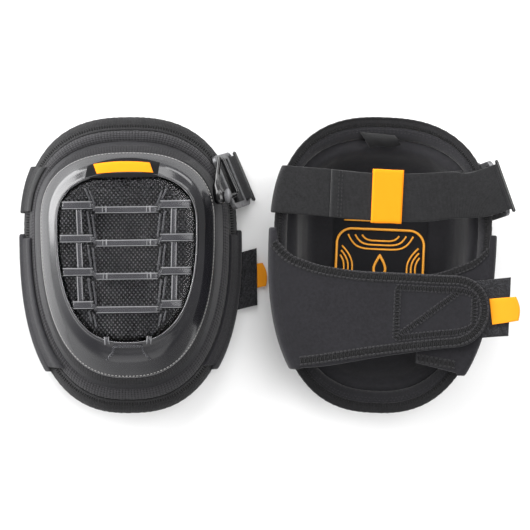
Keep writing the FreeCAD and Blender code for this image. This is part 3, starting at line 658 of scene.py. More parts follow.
LOOKS = {
    "cover": cloth("cover_weave", (0.0070, 0.0067, 0.0077), (2.4, 2.4), 1.0, 0.7, 0.05, 0.8,
                   (0.1, 2.1), (0.6, 1.0)),
    "band": cloth("band_weave", (0.0165, 0.0160, 0.0175), (2.6, 2.2), 1.0, 0.7, 0.08, 0.8,
                  (0.2, 2.0), (0.6, 1.0)),
    "liner": cloth("liner_knit", (0.0118, 0.0114, 0.0138), (0.9, 0.9), 0.3, 0.2, 0.2, 0.8,
                   (0.3, 1.6), (0.35, 1.0)),
    "neoprene": cloth("neoprene_face", (0.0098, 0.0094, 0.0116), (0.8, 0.8), 0.3, 0.2, 0.10, 1.0,
                      (0.2, 1.7), (0.4, 1.0)),
    "panel": cloth("panel_knit", (0.008, 0.008, 0.010), (0.8, 0.8), 0.25, 0.15, 0.1),
    "plate": cloth("label_backing", (0.003, 0.003, 0.004), (0.6, 0.6), 0.2, 0.1, 0.0, 0.1),
    "yellow": cloth("yellow_elastic", YELLOW, (0.7, 0.9), 0.15, 0.15, 0.0, 0.1, (0.9, 1.1)),
    "light_yellow": cloth("yellow_tape", LIGHT_YELLOW, (0.8, 0.8), 0.15, 0.2, 0.0, 0.1, (0.9, 1.1)),
    # Dark grey thread: partly its own colour, partly a painted highlight on the raised stitches.
    "thread": thread("thread_dark", (0.026, 0.025, 0.028)),
    "tick": thread("thread_black", (0.0015, 0.0015, 0.002)),
    "pale_thread": thread("thread_pale", (0.40, 0.39, 0.38)),
    "tape": webbing("edge_tape", (0.0125, 0.0122, 0.0132), 1.3),
    "strap": webbing("strap_webbing", (0.0145, 0.0145, 0.0155)),
    "black_tape": webbing("black_tape", (0.0045, 0.0045, 0.005), 1.2),
    "print": moulded("yellow_print", LIGHT_YELLOW, 0.5, 0.1),
    "black": moulded("buckle_black", (0.003, 0.003, 0.0035), 0.2, 0.35),
    "knob": moulded("knob_grey", (0.09, 0.09, 0.095), 0.5, 0.2),
    "shell": clear("smoky_shell", (0.012, 0.012, 0.0145), (0.16, 0.3), 14.0, (0.7, 1.4), (0.05, 0.02, 0.05),
                   Transmission_Weight=0.2, IOR=1.45, Coat_Weight=0.9, Coat_Roughness=0.12),
    "window": window_plastic("clear_window", (0.90, 0.90, 0.92), 1.0, 0.01, 1.12, 0.0, 0.0, 0.05),
    "tread": window_plastic("clear_tread", (0.10, 0.10, 0.11), 0.55, 0.16, 1.3, 0.05, 0.25),
    # Lighter plastic for the rods along the bars' and the window's edges: painted highlights.
    "tread_highlight": window_plastic("tread_highlight", (0.26, 0.26, 0.27), 0.25, 0.2, 1.3, 0.05, 0.3),
    "mesh": dotted_mesh("dotted_mesh"),
    "hooks": hook_tape("hook_tape", (0.016, 0.016, 0.018)),
    "steel": brushed("buckle_grey", (0.11, 0.11, 0.115)),
}

# ---- soft simulation


def coordinates(mesh):
    """A mesh's points as an array."""
    values = np.empty(len(mesh.vertices) * 3)
    mesh.vertices.foreach_get("co", values)
    return values.reshape(-1, 3)


def evaluated_mesh(piece):
    graph = bpy.context.evaluated_depsgraph_get()
    return bpy.data.meshes.new_from_object(piece.evaluated_get(graph))


def apply_modifiers(piece):
    """Puts what a piece's modifiers make into its own mesh."""
    old = piece.data
    made = evaluated_mesh(piece)
    piece.modifiers.clear()
    piece.data = made
    bpy.data.meshes.remove(old)


def swollen(piece, rest, reach, pressure=4.0, frames=20):
    """A piece's points after it has swollen as cloth, no further than its reach."""
    simulation = piece.modifiers.new("swell", "CLOTH")
    settings = simulation.settings
    settings.quality = 5
    settings.use_pressure = True
    settings.uniform_pressure_force = pressure
    settings.effector_weights.gravity = 0
    settings.tension_stiffness = 12
    settings.bending_stiffness = 0.8
    simulation.collision_settings.use_collision = False
    scene = bpy.context.scene
    for step in range(1, frames + 1):
        scene.frame_set(step)
    made = evaluated_mesh(piece)
    shift = coordinates(made) - rest
    bpy.data.meshes.remove(made)
    scene.frame_set(1)
    piece.modifiers.clear()
    length = np.maximum(np.linalg.norm(shift, axis=1, keepdims=True), TINY)
    return rest + shift / length * reach * np.tanh(length / reach)


def inflate(piece, voxel, reach):
    """Remeshes a padded piece evenly, lets it swell as cloth and smooths the result."""
    remesh = piece.modifiers.new("even", "REMESH")
    remesh.mode = "VOXEL"
    remesh.voxel_size = voxel
    apply_modifiers(piece)
    points = coordinates(piece.data)
    points = swollen(piece, points, reach)
    piece.data.vertices.foreach_set("co", points.ravel())
    piece.modifiers.new("round", "SUBSURF").levels = 1
    apply_modifiers(piece)
    for face in piece.data.polygons:
        face.use_smooth = True


def plane_run(piece, pad):
    """Lays the texture run of a piece straight across the pad."""
    mesh = piece.data
    layer = mesh.uv_layers.get("cloth_run") or mesh.uv_layers.new(name="cloth_run")
    index = np.empty(len(mesh.loops), int)
    mesh.loops.foreach_get("vertex_index", index)
    layer.data.foreach_set("uv", pad.local(coordinates(mesh))[index][:, :2].ravel())


# ---- cap, window and label

WINDOW_SINK = 1.5
WINDOW_SHARE = 1.97  # where the clear window begins


def cap_surface(u, v):
    """The cap's outer face, with its window sunk a little."""
    sink = WINDOW_SINK * np.clip((share_at(u, v) - 1.95) / 0.06, 0, 1)
    return height_at(FRONT, u, v) - sink


def make_cap(pad):
    outer = [(1.0, 1.3), (0.99, 0.6), (1.0, 0.1), (1.03, -0.1), (1.12, 0.0), (1.3, 0.0), (1.5, 0.0),
             (1.7, 0.0), (1.86, 0.0), (1.91, -0.5), (1.95, -0.5), (1.985, 0.6), (2.02, 1.3), (2.1, 1.5),
             (2.3, 1.5), (2.6, 1.5), (3.0, 1.5)]
    inner = [(3.0, 2.5), (2.6, 2.5), (2.1, 2.5), (2.0, 2.3), (1.85, 1.6), (1.5, 1.5), (1.2, 1.5),
             (1.03, 1.5)]
    rings = smooth_rings(all_on(FRONT, outer), 4) + smooth_rings(all_on(FRONT, inner), 2)
    cap = ring_piece(pad, "cap_shell", rings, "shell")
    cap.data.materials.append(LOOKS["window"])
    middles = pad.local([face.center for face in cap.data.polygons])
    clear_faces = share_at(middles[:, 0], middles[:, 1]) > WINDOW_SHARE
    cap.data.polygons.foreach_set("material_index", clear_faces.astype(np.int32))
    settle(cap, pad, "pad", "clear_shell", "cap")
    # A lighter rod round the window's edge: a painted highlight.
    rim_highlight = tube(pad, ring_points(on(FRONT, 1.945, 0.45), ANGLES), 0.55, "tread_highlight", True)
    settle_joined([rim_highlight], pad, "window_lip", "pad", "clear_shell")
    path = ring_points(on(FRONT, 1.055, -0.25), ANGLES)
    row = stitch_row(pad, path, 3.0, 1.0, 0.34, True, look="pale_thread")
    settle_joined([row], pad, "cap_stitches", "pad", "clear_shell")


# A bar's section: places across its width, with heights.
BAR_SECTION = np.array([(-0.5, -0.4), (-0.5, 0.55), (-0.42, 0.9), (-0.2, 1.0), (0.2, 1.0), (0.42, 0.9),
                        (0.5, 0.55), (0.5, -0.4)])
BAR_STEP = 1.2  # between the points along a bar


def ridge(pad, path, width, height):
    """A moulded bar on the window, a rounded ridge along a plan path, and lighter rods along its edges as painted
    highlights.
    """
    points, _ = resample([(u, v, 0.0) for u, v in path], BAR_STEP)
    runs = unit(np.gradient(points, axis=0))
    sides = np.stack([-runs[:, 1], runs[:, 0], np.zeros(len(runs))], axis=-1)
    grid = points[:, None] + sides[:, None] * (BAR_SECTION[:, 0] * width)[None, :, None]
    grid[..., 2] = cap_surface(points[:, 0], points[:, 1])[:, None] + BAR_SECTION[None, :, 1] * height
    upper = 2 if sides[:, 1].mean() < 0.5 else 5
    # Lighter rods along both edges, the wider one on the bar's upper side: painted highlights.
    edges = [tube(pad, grid[:, column] + (0, 0, 0.1), radius, "tread_highlight")
             for column, radius in ((upper, 0.5), (7 - upper, 0.28))]
    taper = swell(np.linspace(0, 1, len(points)), len(points) * BAR_STEP, 1.6)
    middle = grid.mean(axis=1, keepdims=True)
    grid = middle + (grid - middle) * np.maximum(taper, 0.02)[:, None, None]
    return grid_piece(pad, "tread", grid, "tread"), edges


TREAD_ROWS = (46.5, 18.5, -9.5, -37.5)  # heights of the window's cross bars
TREAD_STEP = 4.2  # how much higher the bars' outer ends stand
CENTRE_HALF = 27.0  # where the cross bars' middle parts end
SIDE_BAR = 40.0  # u of the upright side bars
PEG = 18.5  # u of the pegs


def window_half(v):
    """Half the window's width at a height, less a small margin."""
    half, centre, top, bottom = WINDOW
    reach = top - centre if v >= centre else centre - bottom
    return half * max(0.0, 1 - (abs(v - centre) / reach) ** EGG_POWER) ** (1 / EGG_POWER) - 2.0


def make_treads(pad):
    """The moulded bars, slanted ribs and pegs of the window, with lighter rods along their edges as painted
    highlights.
    """
    treads, highlight_rims = [], []

    def bar(path, width, height=1.4):
        tread, edges = ridge(pad, path, width, height)
        treads.append(tread)
        # The wide bars' highlight rods make a piece of their own; the narrow bars' rods join the bars.
        (highlight_rims if width > 2 else treads).extend(edges)

    def bars(path, *size):
        """A bar on each side of the window."""
        for hand in (-1, 1):
            bar([(hand * u, v) for u, v in path], *size)

    for v in TREAD_ROWS:
        outer = v + TREAD_STEP
        bar([(-CENTRE_HALF + 1.0, v), (CENTRE_HALF - 1.0, v)], 5.6)
        bars([(CENTRE_HALF + 1.5, outer), (window_half(outer), outer)], 6.6)
        bars([(CENTRE_HALF - 1.0, v - 1.0), (CENTRE_HALF + 2.0, v + 5.0)], 2.0)
    gaps = [(66.0, TREAD_ROWS[0]), *zip(TREAD_ROWS, TREAD_ROWS[1:]), (TREAD_ROWS[-1], -56.0)]
    for number, (high, low) in enumerate(gaps):
        lean = CENTRE_HALF + (3.5 if number == 0 else 1.6)
        bars([(lean, high - 3.5), (CENTRE_HALF - 1.0, low + 3.5)], 1.1, 0.9)
        bars([(lean + 4.0, high - 1.0), (CENTRE_HALF + 3.0, low + 8.0)], 1.1, 0.9)
        if 0 < number < len(gaps) - 1:
            bars([(SIDE_BAR, high + 0.5), (SIDE_BAR - 0.8, low + 7.5)], 4.6, 1.1)
    for v in TREAD_ROWS[:3]:
        bars([(PEG, v - 2.2), (PEG, v + 3.2)], 3.6, 1.5)
    bars([(18.0, -60.0), (17.5, -66.5)], 4.0, 1.2)
    bars([(11.5, -68.5), (13.0, -74.0), (PEG, -80.0)], 1.3, 0.8)
    bar([(-11.5, -68.5), (11.5, -68.5)], 1.3, 0.8)
    settle_joined(treads, pad, "window_treads", "pad", "clear_shell")
    settle_joined(highlight_rims, pad, "tread_edges", "pad", "clear_shell")


def make_insert(pad):
    """The dotted mesh panel, just under the window."""
    rings = all_on(FRONT, [(1.97, 3.9), (1.97, 3.3), (2.05, 2.9), (2.2, 2.8), (2.5, 2.8), (3.0, 2.8)])
    points = np.array([ring_points(ring, ANGLES) for ring in rings])
    insert = grid_piece(pad, "insert_panel", points, "mesh")
    plane_run(insert, pad)
    settle(insert, pad, "pad", "insert_mesh", "grip_insert")


def make_label(pad):
    """The plain dark plate with its plain yellow strip."""
    plate = flat_piece(pad, "plate", lambda u: 73.5, lambda u: 90.5 - 0.006 * u * u, (-33.5, 27.5),
                       lambda u, v: height_at(FRONT, u, v) + 0.3, 0.6, "plate", lean=2.0)
    settle(plate, pad, "pad", "label_dark", "label_plate")
    strip = flat_piece(pad, "strip", lambda u: 78.4 - 0.002 * u * u, lambda u: 87.4 - 0.003 * u * u,
                       (-26.0, 21.5), lambda u, v: height_at(FRONT, u, v) + 0.8, 0.5, "yellow", lean=-3.0)
    settle(strip, pad, "pad", "accent", "label_strip")


# ---- cover, roll and edge


def ripple(amount, count, weight):
    """Pushes a band's points in and out in even puckers, by a weight of the ring's number."""
    def shape(points):
        outward = unit(points - points.mean(axis=0, keepdims=True))
        wave = np.sin(ANGLES * count)[None, :, None]
        return points + outward * wave * amount * weight(np.arange(len(points)))[:, None, None]
    return shape


def make_cover(pad):
    """The woven slope between the cap's edge and the groove, run on under the roll."""
    outer = [(1.12, 2.6), (1.05, 1.6), (1.0, 1.3), (0.95, 1.1), (0.86, 1.2), (0.76, 1.7), (0.70, 2.6),
             (0.66, 2.2), (0.60, 1.9), (0.40, 1.9), (0.16, 1.9)]
    inner = [(0.16, 3.2), (0.6, 3.6), (0.9, 3.4), (1.12, 4.0)]
    rings = smooth_rings(all_on(FRONT, outer), 4) + all_on(FRONT, inner)
    settle(ring_piece(pad, "cover_slope", rings, "cover"), pad, "pad", "cover_fabric", "outer_cover")


def make_roll(pad):
    """The raised woven band between the groove and the edge tape."""
    section = [(0.385, 1.5), (0.385, 0.2), (0.41, -0.9), (0.46, -1.5), (0.52, -1.7), (0.58, -1.4),
               (0.63, -0.6), (0.655, 0.4), (0.65, 1.5), (0.52, 1.8)]
    rings = smooth_rings(all_on(FRONT, section), 3, closed=True)
    puckers = ripple(0.18, 96, lambda i: np.clip(1 - abs(i - 4) / 6, 0, 1))
    roll = ring_piece(pad, "rim_roll", rings, "band", puckers)
    settle(roll, pad, "pad", "cover_fabric", "rim_band")


def make_edge(pad):
    """The binding tape folded over the pad's edge, with its two rows of stitches."""
    rings = [
        *all_on(FRONT, [(0.37, 0.9), (0.36, 0.25), (0.33, 0.0), (0.26, 0.25), (0.18, 0.0), (0.11, -0.3),
                        (0.05, 0.0)]), edge(0.1, 1.2, 30.6), edge(-0.7, -0.9, 28.2),
        *all_on(BACK, [(0.07, 1.5), (0.15, 1.8), (0.21, 1.5), (0.25, 1.5), (0.27, 1.0), (0.26, 0.2),
                       (0.16, 0.0)]), edge(-3.4, 2.4, 31.2), *all_on(FRONT, [(0.18, 1.8), (0.34, 1.7)]),
    ]
    puckers = ripple(0.14, 150, lambda i: i < 40)  # only on the outside
    tape = ring_piece(pad, "edge_tape", smooth_rings(rings, 3, closed=True), "tape", puckers)
    settle(tape, pad, "pad", "tape", "edge_binding")
    rows = [tick_row(pad, ring_points(on(FRONT, 0.27, -0.1), ANGLES)),
            tick_row(pad, ring_points(on(BACK, 0.205, 1.65), ANGLES), 2.1, 1.8)]
    settle_joined(rows, pad, "edge_stitches", "pad", "tape")


# ---- the hollow


def make_cushion(pad):
    """The padded lining of the hollow: a closed form that swells as cloth does."""
    section = [
        (0.50, -1.6), (0.54, -0.4), (0.58, 0.5), (0.62, 0.2), (0.655, -1.2), (0.70, 1.6), (0.78, 3.8),
        (0.88, 4.2), (1.0, 2.4), (1.3, 0.8), (1.62, 1.2), (1.78, 1.8), (1.9, 2.6), (2.1, 2.6), (2.5, 2.6),
        (3.0, 2.6), (3.0, -12.0), (2.2, -11.0), (1.8, -9.0), (1.3, -8.0), (0.9, -6.0), (0.62, -5.0),
        (0.5, -3.5),
    ]
    points = np.array([ring_points(ring, ANGLES[::2]) for ring in all_on(BACK, section)])
    cushion = grid_piece(pad, "hollow_cushion", points, "liner", wrap_rows=True)
    inflate(cushion, voxel=0.0034, reach=0.0020)
    cushion.data.materials.clear()
    cushion.data.materials.append(LOOKS["liner"])
    plane_run(cushion, pad)
    settle(cushion, pad, "pad", "liner_fabric", "liner", "foam_core", "gel_pad")


def make_border(pad):
    """The flat sewn border round the hollow, with its rows of stitches."""
    section = [(0.27, 0.3), (0.275, 1.2), (0.31, 1.7), (0.38, 2.0), (0.46, 1.9), (0.53, 1.5), (0.585, 0.6),
               (0.60, -0.4), (0.50, -0.8), (0.35, -0.4)]
    rings = smooth_rings(all_on(BACK, section), 3, closed=True)
    puckers = ripple(0.16, 130, lambda i: i < 20)  # only on the face
    border = ring_piece(pad, "hollow_border", rings, "liner", puckers)
    settle(border, pad, "pad", "liner_fabric", "liner_border")
    rows = [stitch_row(pad, ring_points(on(BACK, share, 2.05), ANGLES), 3.2, 1.0, 0.34, True, 0.9)
            for share in (0.335, 0.395)]
    settle_joined(rows, pad, "border_stitches", "pad", "liner_fabric")


PANEL_HALF, PANEL_CENTRE = (41.0, 52.0), (0.0, 4.0)
PANEL_W = 44.8  # w of the panel's face
PRINT_W = PANEL_W - 0.25


def rounded_rectangle(centre, half_u, half_v, radius, w, count=14):
    """A closed path with round corners."""
    points = []
    for k, (su, sv) in enumerate(((1, 1), (-1, 1), (-1, -1), (1, -1))):
        for angle in np.linspace(0, math.pi / 2, count) + k * math.pi / 2:
            points.append((centre[0] + su * (half_u - radius) + radius * math.cos(angle),
                           centre[1] + sv * (half_v - radius) + radius * math.sin(angle), w))
    return np.array(points)


def make_panel(pad):
    """The printed patch: a soft raised panel with plain lines and a drop."""
    outline = rounded_rectangle((0, 0), *PANEL_HALF, 20.0, 0.0, 20)
    steps = ((0.02, 0.0), (0.4, 0.1), (0.75, 0.5), (0.93, 1.1), (0.985, 1.7), (1.0, 2.4), (1.0, 3.4),
             (0.98, 4.4))
    grid = np.array([outline * (share, share, 1) + (*PANEL_CENTRE, PANEL_W + lift) for share, lift in steps])
    panel = grid_piece(pad, "gel_patch", grid, "panel")
    plane_run(panel, pad)
    settle(panel, pad, "pad", "liner_fabric", "gel_panel")
    lines = []

    def line(us, vs, radius, closed=False):
        path = np.stack(np.broadcast_arrays(us, vs, PRINT_W), axis=-1)
        lines.append(tube(pad, path, radius, "print", closed, 0.45))

    border = rounded_rectangle((0.0, -7.5), 37.5, 38.0, 13.0, PRINT_W)
    line(border[:, 0], border[:, 1], 1.05, True)
    line(np.linspace(-32.0, -6.0, 12), 37.6, 0.6)
    for step in range(3):
        half, rise = 28.0 - 6.0 * step, 12.0 - 3.6 * step
        xs = np.linspace(-1, 1, 41)
        line(half * xs, 25.5 - rise + rise * np.abs(xs) ** 5, 0.75)
        ys = np.linspace(15.5 - 4.0 * step, -28.0, 24)
        bend = (9.5 - 3.0 * step) * np.clip((ys + 2) / (17.5 - 4.0 * step), 0, 1) ** 2
        for hand in (-1, 1):
            line(hand * (23.5 + 3.6 * step + bend), ys, 0.75)
    turn = np.linspace(0, 2 * math.pi, 48, endpoint=False)
    line(7.0 * np.sin(turn) * np.sin(turn / 2) ** 1.4, 8.5 * np.cos(turn), 1.1, True)
    settle_joined(lines, pad, "panel_lines", "pad", "print", "panel_print")


LOOP_SIZE = (32.0, 15.0)


def make_hang_loop(pad):
    """A folded tape tab at the top of the hollow."""
    rows, cols = spread(LOOP_SIZE[0], 1.6, 0.6), spread(LOOP_SIZE[1], 1.5, 0.6)
    r, c = rows[:, None], cols[None, :]
    drop = (13.0 - 4.5 * r) * c
    grid = np.stack([-22.0 + r * 30.0 + (8.5 - 3.0 * r) * c,
                     112.6 - 1.6 * r - drop + 1.1 * np.sin(r * 7.0) * c,
                     27.6 - 0.38 * drop - 2.6 * np.sin(c * math.pi) - 0.9 * np.sin(r * 5.0)], axis=-1)
    loop = sheet_piece(pad, "loop_tab", grid, 1.6, "black_tape", rows, cols, LOOP_SIZE)
    settle(loop, pad, "loop", "tape", "hang_loop")


# ---- straps

STRAP_SLANT = math.radians(22.0)  # how far the loose end and the buckle lean
ACROSS = np.array([math.cos(STRAP_SLANT), math.sin(STRAP_SLANT)])
ALONG = np.array([-math.sin(STRAP_SLANT), math.cos(STRAP_SLANT)])


def line_through(*points):
    """A smooth line through (x, y) points, as a function of x."""
    xs, ys = np.array(points, float).T
    slopes = np.gradient(ys, xs)

    def value(x):
        i = int(np.clip(np.searchsorted(xs, x) - 1, 0, len(xs) - 2))
        span = xs[i + 1] - xs[i]
        t = np.clip((x - xs[i]) / span, 0, 1)
        t2, t3 = t * t, t ** 3
        return ((2 * t3 - 3 * t2 + 1) * ys[i] + (t3 - 2 * t2 + t) * slopes[i] * span
                + (3 * t2 - 2 * t3) * ys[i + 1] + (t3 - t2) * slopes[i + 1] * span)
    return value


SIDE = 95.0  # u where the straps and wings are sewn on
SEWN = {
    -1: [(0.56, -1.9), (0.54, -2.6), (0.49, -3.1), (0.43, -2.9), (0.37, -2.2), (0.30, -1.5), (0.22, -1.3)],
    1: [(0.345, -0.2), (0.30, -0.4), (0.22, -1.0)],
}


def wrapped_piece(pad, name, hand, low, high, back, thickness, end_u, look, step=2.0, tip=None):
    """A strap or wing: sewn to the side, round the pad's edge and on behind it to its end."""
    rim = all_on(FRONT, SEWN[hand] + [(0.12, -1.5), (0.05, -1.9)])
    rim += [edge(2.6, 3.0, 26.0), edge(2.9, 0.0, 12.0), edge(2.6, -back * 0.6, 2.0),
            edge(1.2, -back - thickness * 0.3, -back * 0.9),
            edge(-1.6, -back - thickness / 2, -back - thickness / 2)]
    start, opposite = hand * SIDE, hand * -SIDE
    across = spread(high(opposite) - low(opposite), step, thickness / 2)
    rows = []
    for ring in smooth_rings(rim, 4):
        share = 0.03 + 0.94 * across if ring.w_side > 6 else across
        rows.append(side_points(ring, low(start) + (high(start) - low(start)) * share, hand))
    first = rows[-1][:, 0]
    for t in np.linspace(0, 1, max(8, int(180 / (step * 1.2))))[1:]:
        u = first + (end_u - first) * (math.sin(t * math.pi / 2) if tip else t)
        centre = float(u.mean())
        v_low, v_high = low(centre), high(centre)
        if tip:
            v_low, v_high = tip(centre, v_low, v_high)
        v = v_low + (v_high - v_low) * across
        rows.append(np.stack([u, v, np.full_like(u, -back - thickness / 2)], axis=-1))
    middle = np.array(rows)
    run = np.concatenate([[0], np.cumsum(np.linalg.norm(np.diff(middle, axis=0), axis=2).mean(axis=1))])
    width = high(hand * 60.0) - low(hand * 60.0)
    return sheet_piece(pad, name, middle, thickness, look, run / run[-1], across, (run[-1], width))


SEWN_RISE = {"left": 8.0, "right": 0.0}  # how much higher the strap's sewn end stands
STRAP_WIDTH = 40.0
TAIL_LAYER = 1.15  # half the distance between the loose end's two layers
TAIL_TURN = -9.7  # x from the bar where the loose end leans fully
TAIL_EASE = 34.0  # the length over which its lean grows
TAIL_BEND = 3.9  # radius of its turn round the bar
HEMS = (-39.0, -36.4)  # u of the hem's rows of stitches


def make_upper_strap(pad):
    """The webbing from the side round the edge and across to the buckle, with its loose end."""
    bar = pad.bar
    rise = SEWN_RISE[pad.side]
    low = line_through((-110, 41 + rise), (-60, 39.5), (0, 37), (40, 38.5), (bar[0] - 2, bar[1] - 17))
    high = line_through((-110, 81 + rise), (-60, 79.5), (0, 77), (40, 79.5), (bar[0] - 18, bar[1] + 15))
    strap = wrapped_piece(pad, "strap_main", -1, low, high, 4.0, 2.0, 66.0, "strap")
    across_joint(strap, pad, "strap", "webbing", (-96, 60, 6), (-94, 60, -4), "strap_base", "upper_strap")

    cols = spread(STRAP_WIDTH, 2.0, 1.0)
    path = [(-142.0 + 132.3 * t, -TAIL_LAYER) for t in np.linspace(0, 1, 60)]
    path += [(TAIL_BEND * math.cos(a), TAIL_BEND * math.sin(a)) for a in np.linspace(-math.pi / 2, math.pi / 2, 14)]
    path += [(-12.0, TAIL_LAYER), (-28.0, TAIL_LAYER)]
    grid = np.zeros((len(path), len(cols), 3))
    for i, (x, z) in enumerate(path):
        near = np.clip(1 + (x - TAIL_TURN) / TAIL_EASE, 0, 1)
        near = near * near * (3 - 2 * near)
        u = bar[0] + x
        straight = np.stack([np.full_like(cols, u), low(u) + (high(u) - low(u)) * cols], axis=-1)
        slanted = bar[:2] + x * ACROSS + ((cols - 0.5) * STRAP_WIDTH)[:, None] * ALONG
        grid[i, :, :2] = slanted * near + straight * (1 - near)
        grid[i, :, 2] = bar[2] + z
    run = run_of(np.array(path))
    tail = sheet_piece(pad, "strap_end", grid, 1.9, "strap", run / run[-1], cols, (run[-1], STRAP_WIDTH))
    settle(tail, pad, "strap", "webbing", "strap_tail")
    rows = []
    for u in HEMS:
        v = np.linspace(low(u) + 1.5, high(u) - 1.5, 20)
        path = np.stack(np.broadcast_arrays(u, v, bar[2] - 2.3), axis=-1)
        rows.append(stitch_row(pad, path, 3.0, 1.1, 0.4))
    settle_joined(rows, pad, "hem_stitches", "strap", "webbing")


KEEPER_U, KEEPER_V = (-11.0, 15.0), (35.2, 80.6)  # the keeper's ends, left to right and low to high
KEEPER_HALF_DEPTH = 3.15


def make_keeper(pad):
    """The yellow elastic loop round the upper strap."""
    angles = np.linspace(0, 2 * math.pi, 72, endpoint=False)
    c, s = np.cos(angles), np.sin(angles)
    middle, half = (KEEPER_V[0] + KEEPER_V[1]) / 2, (KEEPER_V[1] - KEEPER_V[0]) / 2
    v = (np.sign(c) * np.abs(c) ** 0.12 * half)[None]
    w = (np.sign(s) * np.abs(s) ** 0.5 * KEEPER_HALF_DEPTH)[None]
    t = np.linspace(0, 1, 15)[:, None]
    grid = np.stack(np.broadcast_arrays(
        KEEPER_U[0] + (KEEPER_U[1] - KEEPER_U[0]) * t + 0.5 * np.sin(t * 9) * v / half,
        middle + v * (1 + 0.006 * np.sin(t * 7)), pad.bar[2] + w), axis=-1)
    keeper = grid_piece(pad, "keeper_loop", grid, "yellow")
    keeper.modifiers.new("wall", "SOLIDIFY").thickness = 0.9 * MM
    apply_modifiers(keeper)
    settle(keeper, pad, "keeper", "accent", "strap_keeper")


WRAP_LIFT = {"left": 22.0, "right": 5.0}  # how much higher the lower strap's end is fastened
WRAP_TIP = 92.0
ROUND_START = 60.0  # u where the lower strap's end starts to round off
LOWER_START = -64.0  # u where the bottom edges leave the pad's outline
WRAP_BACK, WRAP_THICKNESS = 7.45, 3.0  # how far behind the pad's edge the lower strap runs
WRAP_FACE = -WRAP_BACK - WRAP_THICKNESS  # w of its outside


def lifted(line, lift):
    """A line of u that rises toward the lower strap's end."""
    return lambda u: line(u) + lift * max(0.0, (u + 60.0) / 150.0)


def round_tip(u, low, high):
    """Draws the edges in to a round end."""
    if u <= ROUND_START:
        return low, high
    t = min(1.0, (u - ROUND_START) / (WRAP_TIP - ROUND_START))
    centre = (low + high) / 2
    half = (high - low) / 2 * max(0.0, 1 - t ** 2.3) ** 0.5
    return centre - half, centre + half


def at_height(path, w):
    """A plan path raised to a height."""
    return np.column_stack([path, np.full(len(path), w)])


def make_wrap(pad):
    """The wide stretch strap with its bound edges and sewn patch."""
    lift = WRAP_LIFT[pad.side]
    high = lifted(line_through((-98, 33), (-90, 20), (-80, 9), (-62, 1), (-30, -5.5), (20, -8.5), (60, -10),
                               (95, -10)), lift)
    low = lifted(line_through((-98, -91), (-66, -88), (0, -78), (60, -71), (95, -69)), lift)
    wrap = wrapped_piece(pad, "wrap_band", -1, low, high, WRAP_BACK, WRAP_THICKNESS, WRAP_TIP, "neoprene",
                         2.2, round_tip)
    across_joint(wrap, pad, "wrap", "neoprene", (-96, -30, 6), (-94, -30, -7), "wrap_base", "wrap_strap")

    def edges(u):
        return round_tip(u, low(u), high(u))

    def edge_path(inset):
        """Along the top edge, round the tip and back along the bottom edge."""
        turn = ROUND_START + (WRAP_TIP - ROUND_START) * np.sin(np.linspace(0, math.pi / 2, 24))[1:]
        upper = np.concatenate([np.linspace(-88.0, ROUND_START, 50), turn])
        lower = np.concatenate([np.linspace(LOWER_START, ROUND_START, 44), turn])[::-1]
        path = np.array([(u, edges(u)[1]) for u in upper] + [(u, edges(u)[0]) for u in lower])
        run = unit(np.gradient(path, axis=0))
        return path + np.stack([run[:, 1], -run[:, 0]], axis=-1) * inset

    step, width = 2.0, 8.2
    points, _ = resample(at_height(edge_path(0.4), 0.0), step)
    run = unit(np.gradient(points, axis=0))
    inward = np.stack([run[:, 1], -run[:, 0], np.zeros(len(run))], axis=-1)
    cols = spread(width, 1.2, 0.5)
    grid = points[:, None] + inward[:, None] * (cols * width)[None, :, None]
    grid[..., 2] = WRAP_FACE + 0.1
    binding = sheet_piece(pad, "wrap_tape", grid, 1.0, "tape", np.linspace(0, 1, len(points)), cols,
                          (len(points) * step, width))
    settle(binding, pad, "wrap", "tape", "wrap_binding")
    rows = [stitch_row(pad, at_height(edge_path(inset), WRAP_FACE - 0.5), 3.4, 1.45, 0.8)
            for inset in (1.4, 7.4)]
    slots = [tick_row(pad, at_height(edge_path(4.4), WRAP_FACE - 0.35), 3.4, 1.9, 0.95, False)]
    patch_stitches(pad, edges, rows, slots)
    settle_joined(rows, pad, "wrap_stitches", "wrap", "tape")
    settle_joined(slots, pad, "wrap_slots", "wrap", "tape")


def patch_stitches(pad, edges, rows, slots):
    """Adds the D-shaped stitching with its diagonal, near the lower strap's end."""
    def inside(u, share):
        low, high = edges(u)
        return u, (low + high) / 2 + ((high - low) / 2 - 12.5) * share

    start, end = 14.0, 79.0
    stations = np.concatenate([np.linspace(start, ROUND_START, 16), np.linspace(ROUND_START + 1, end, 14)])
    loop = np.array([inside(u, 1.0) for u in stations] + [inside(u, -1.0) for u in stations[::-1]])
    diagonal = np.array([inside(start, -1.0), inside(66.0, 1.0)]) + [(3, 3), (0, -1)]
    for path, closed in ((loop, True), (diagonal, False)):
        path = at_height(path, WRAP_FACE - 0.1)
        points, runs = resample(path, 2.0, closed)
        runs = unit(runs)
        sideways = np.stack([-runs[:, 1], runs[:, 0], np.zeros(len(runs))], axis=-1)
        rows += [stitch_row(pad, points + sideways * 2.2 * hand, 3.2, 1.35, 0.7, closed) for hand in (-1, 1)]
        slots.append(tick_row(pad, path, 3.0, 2.0, 0.95, closed))


TAB_LENGTH, TAB_WIDTH = 22.5, 22.0
TAB_SLANT = math.radians(9.0)


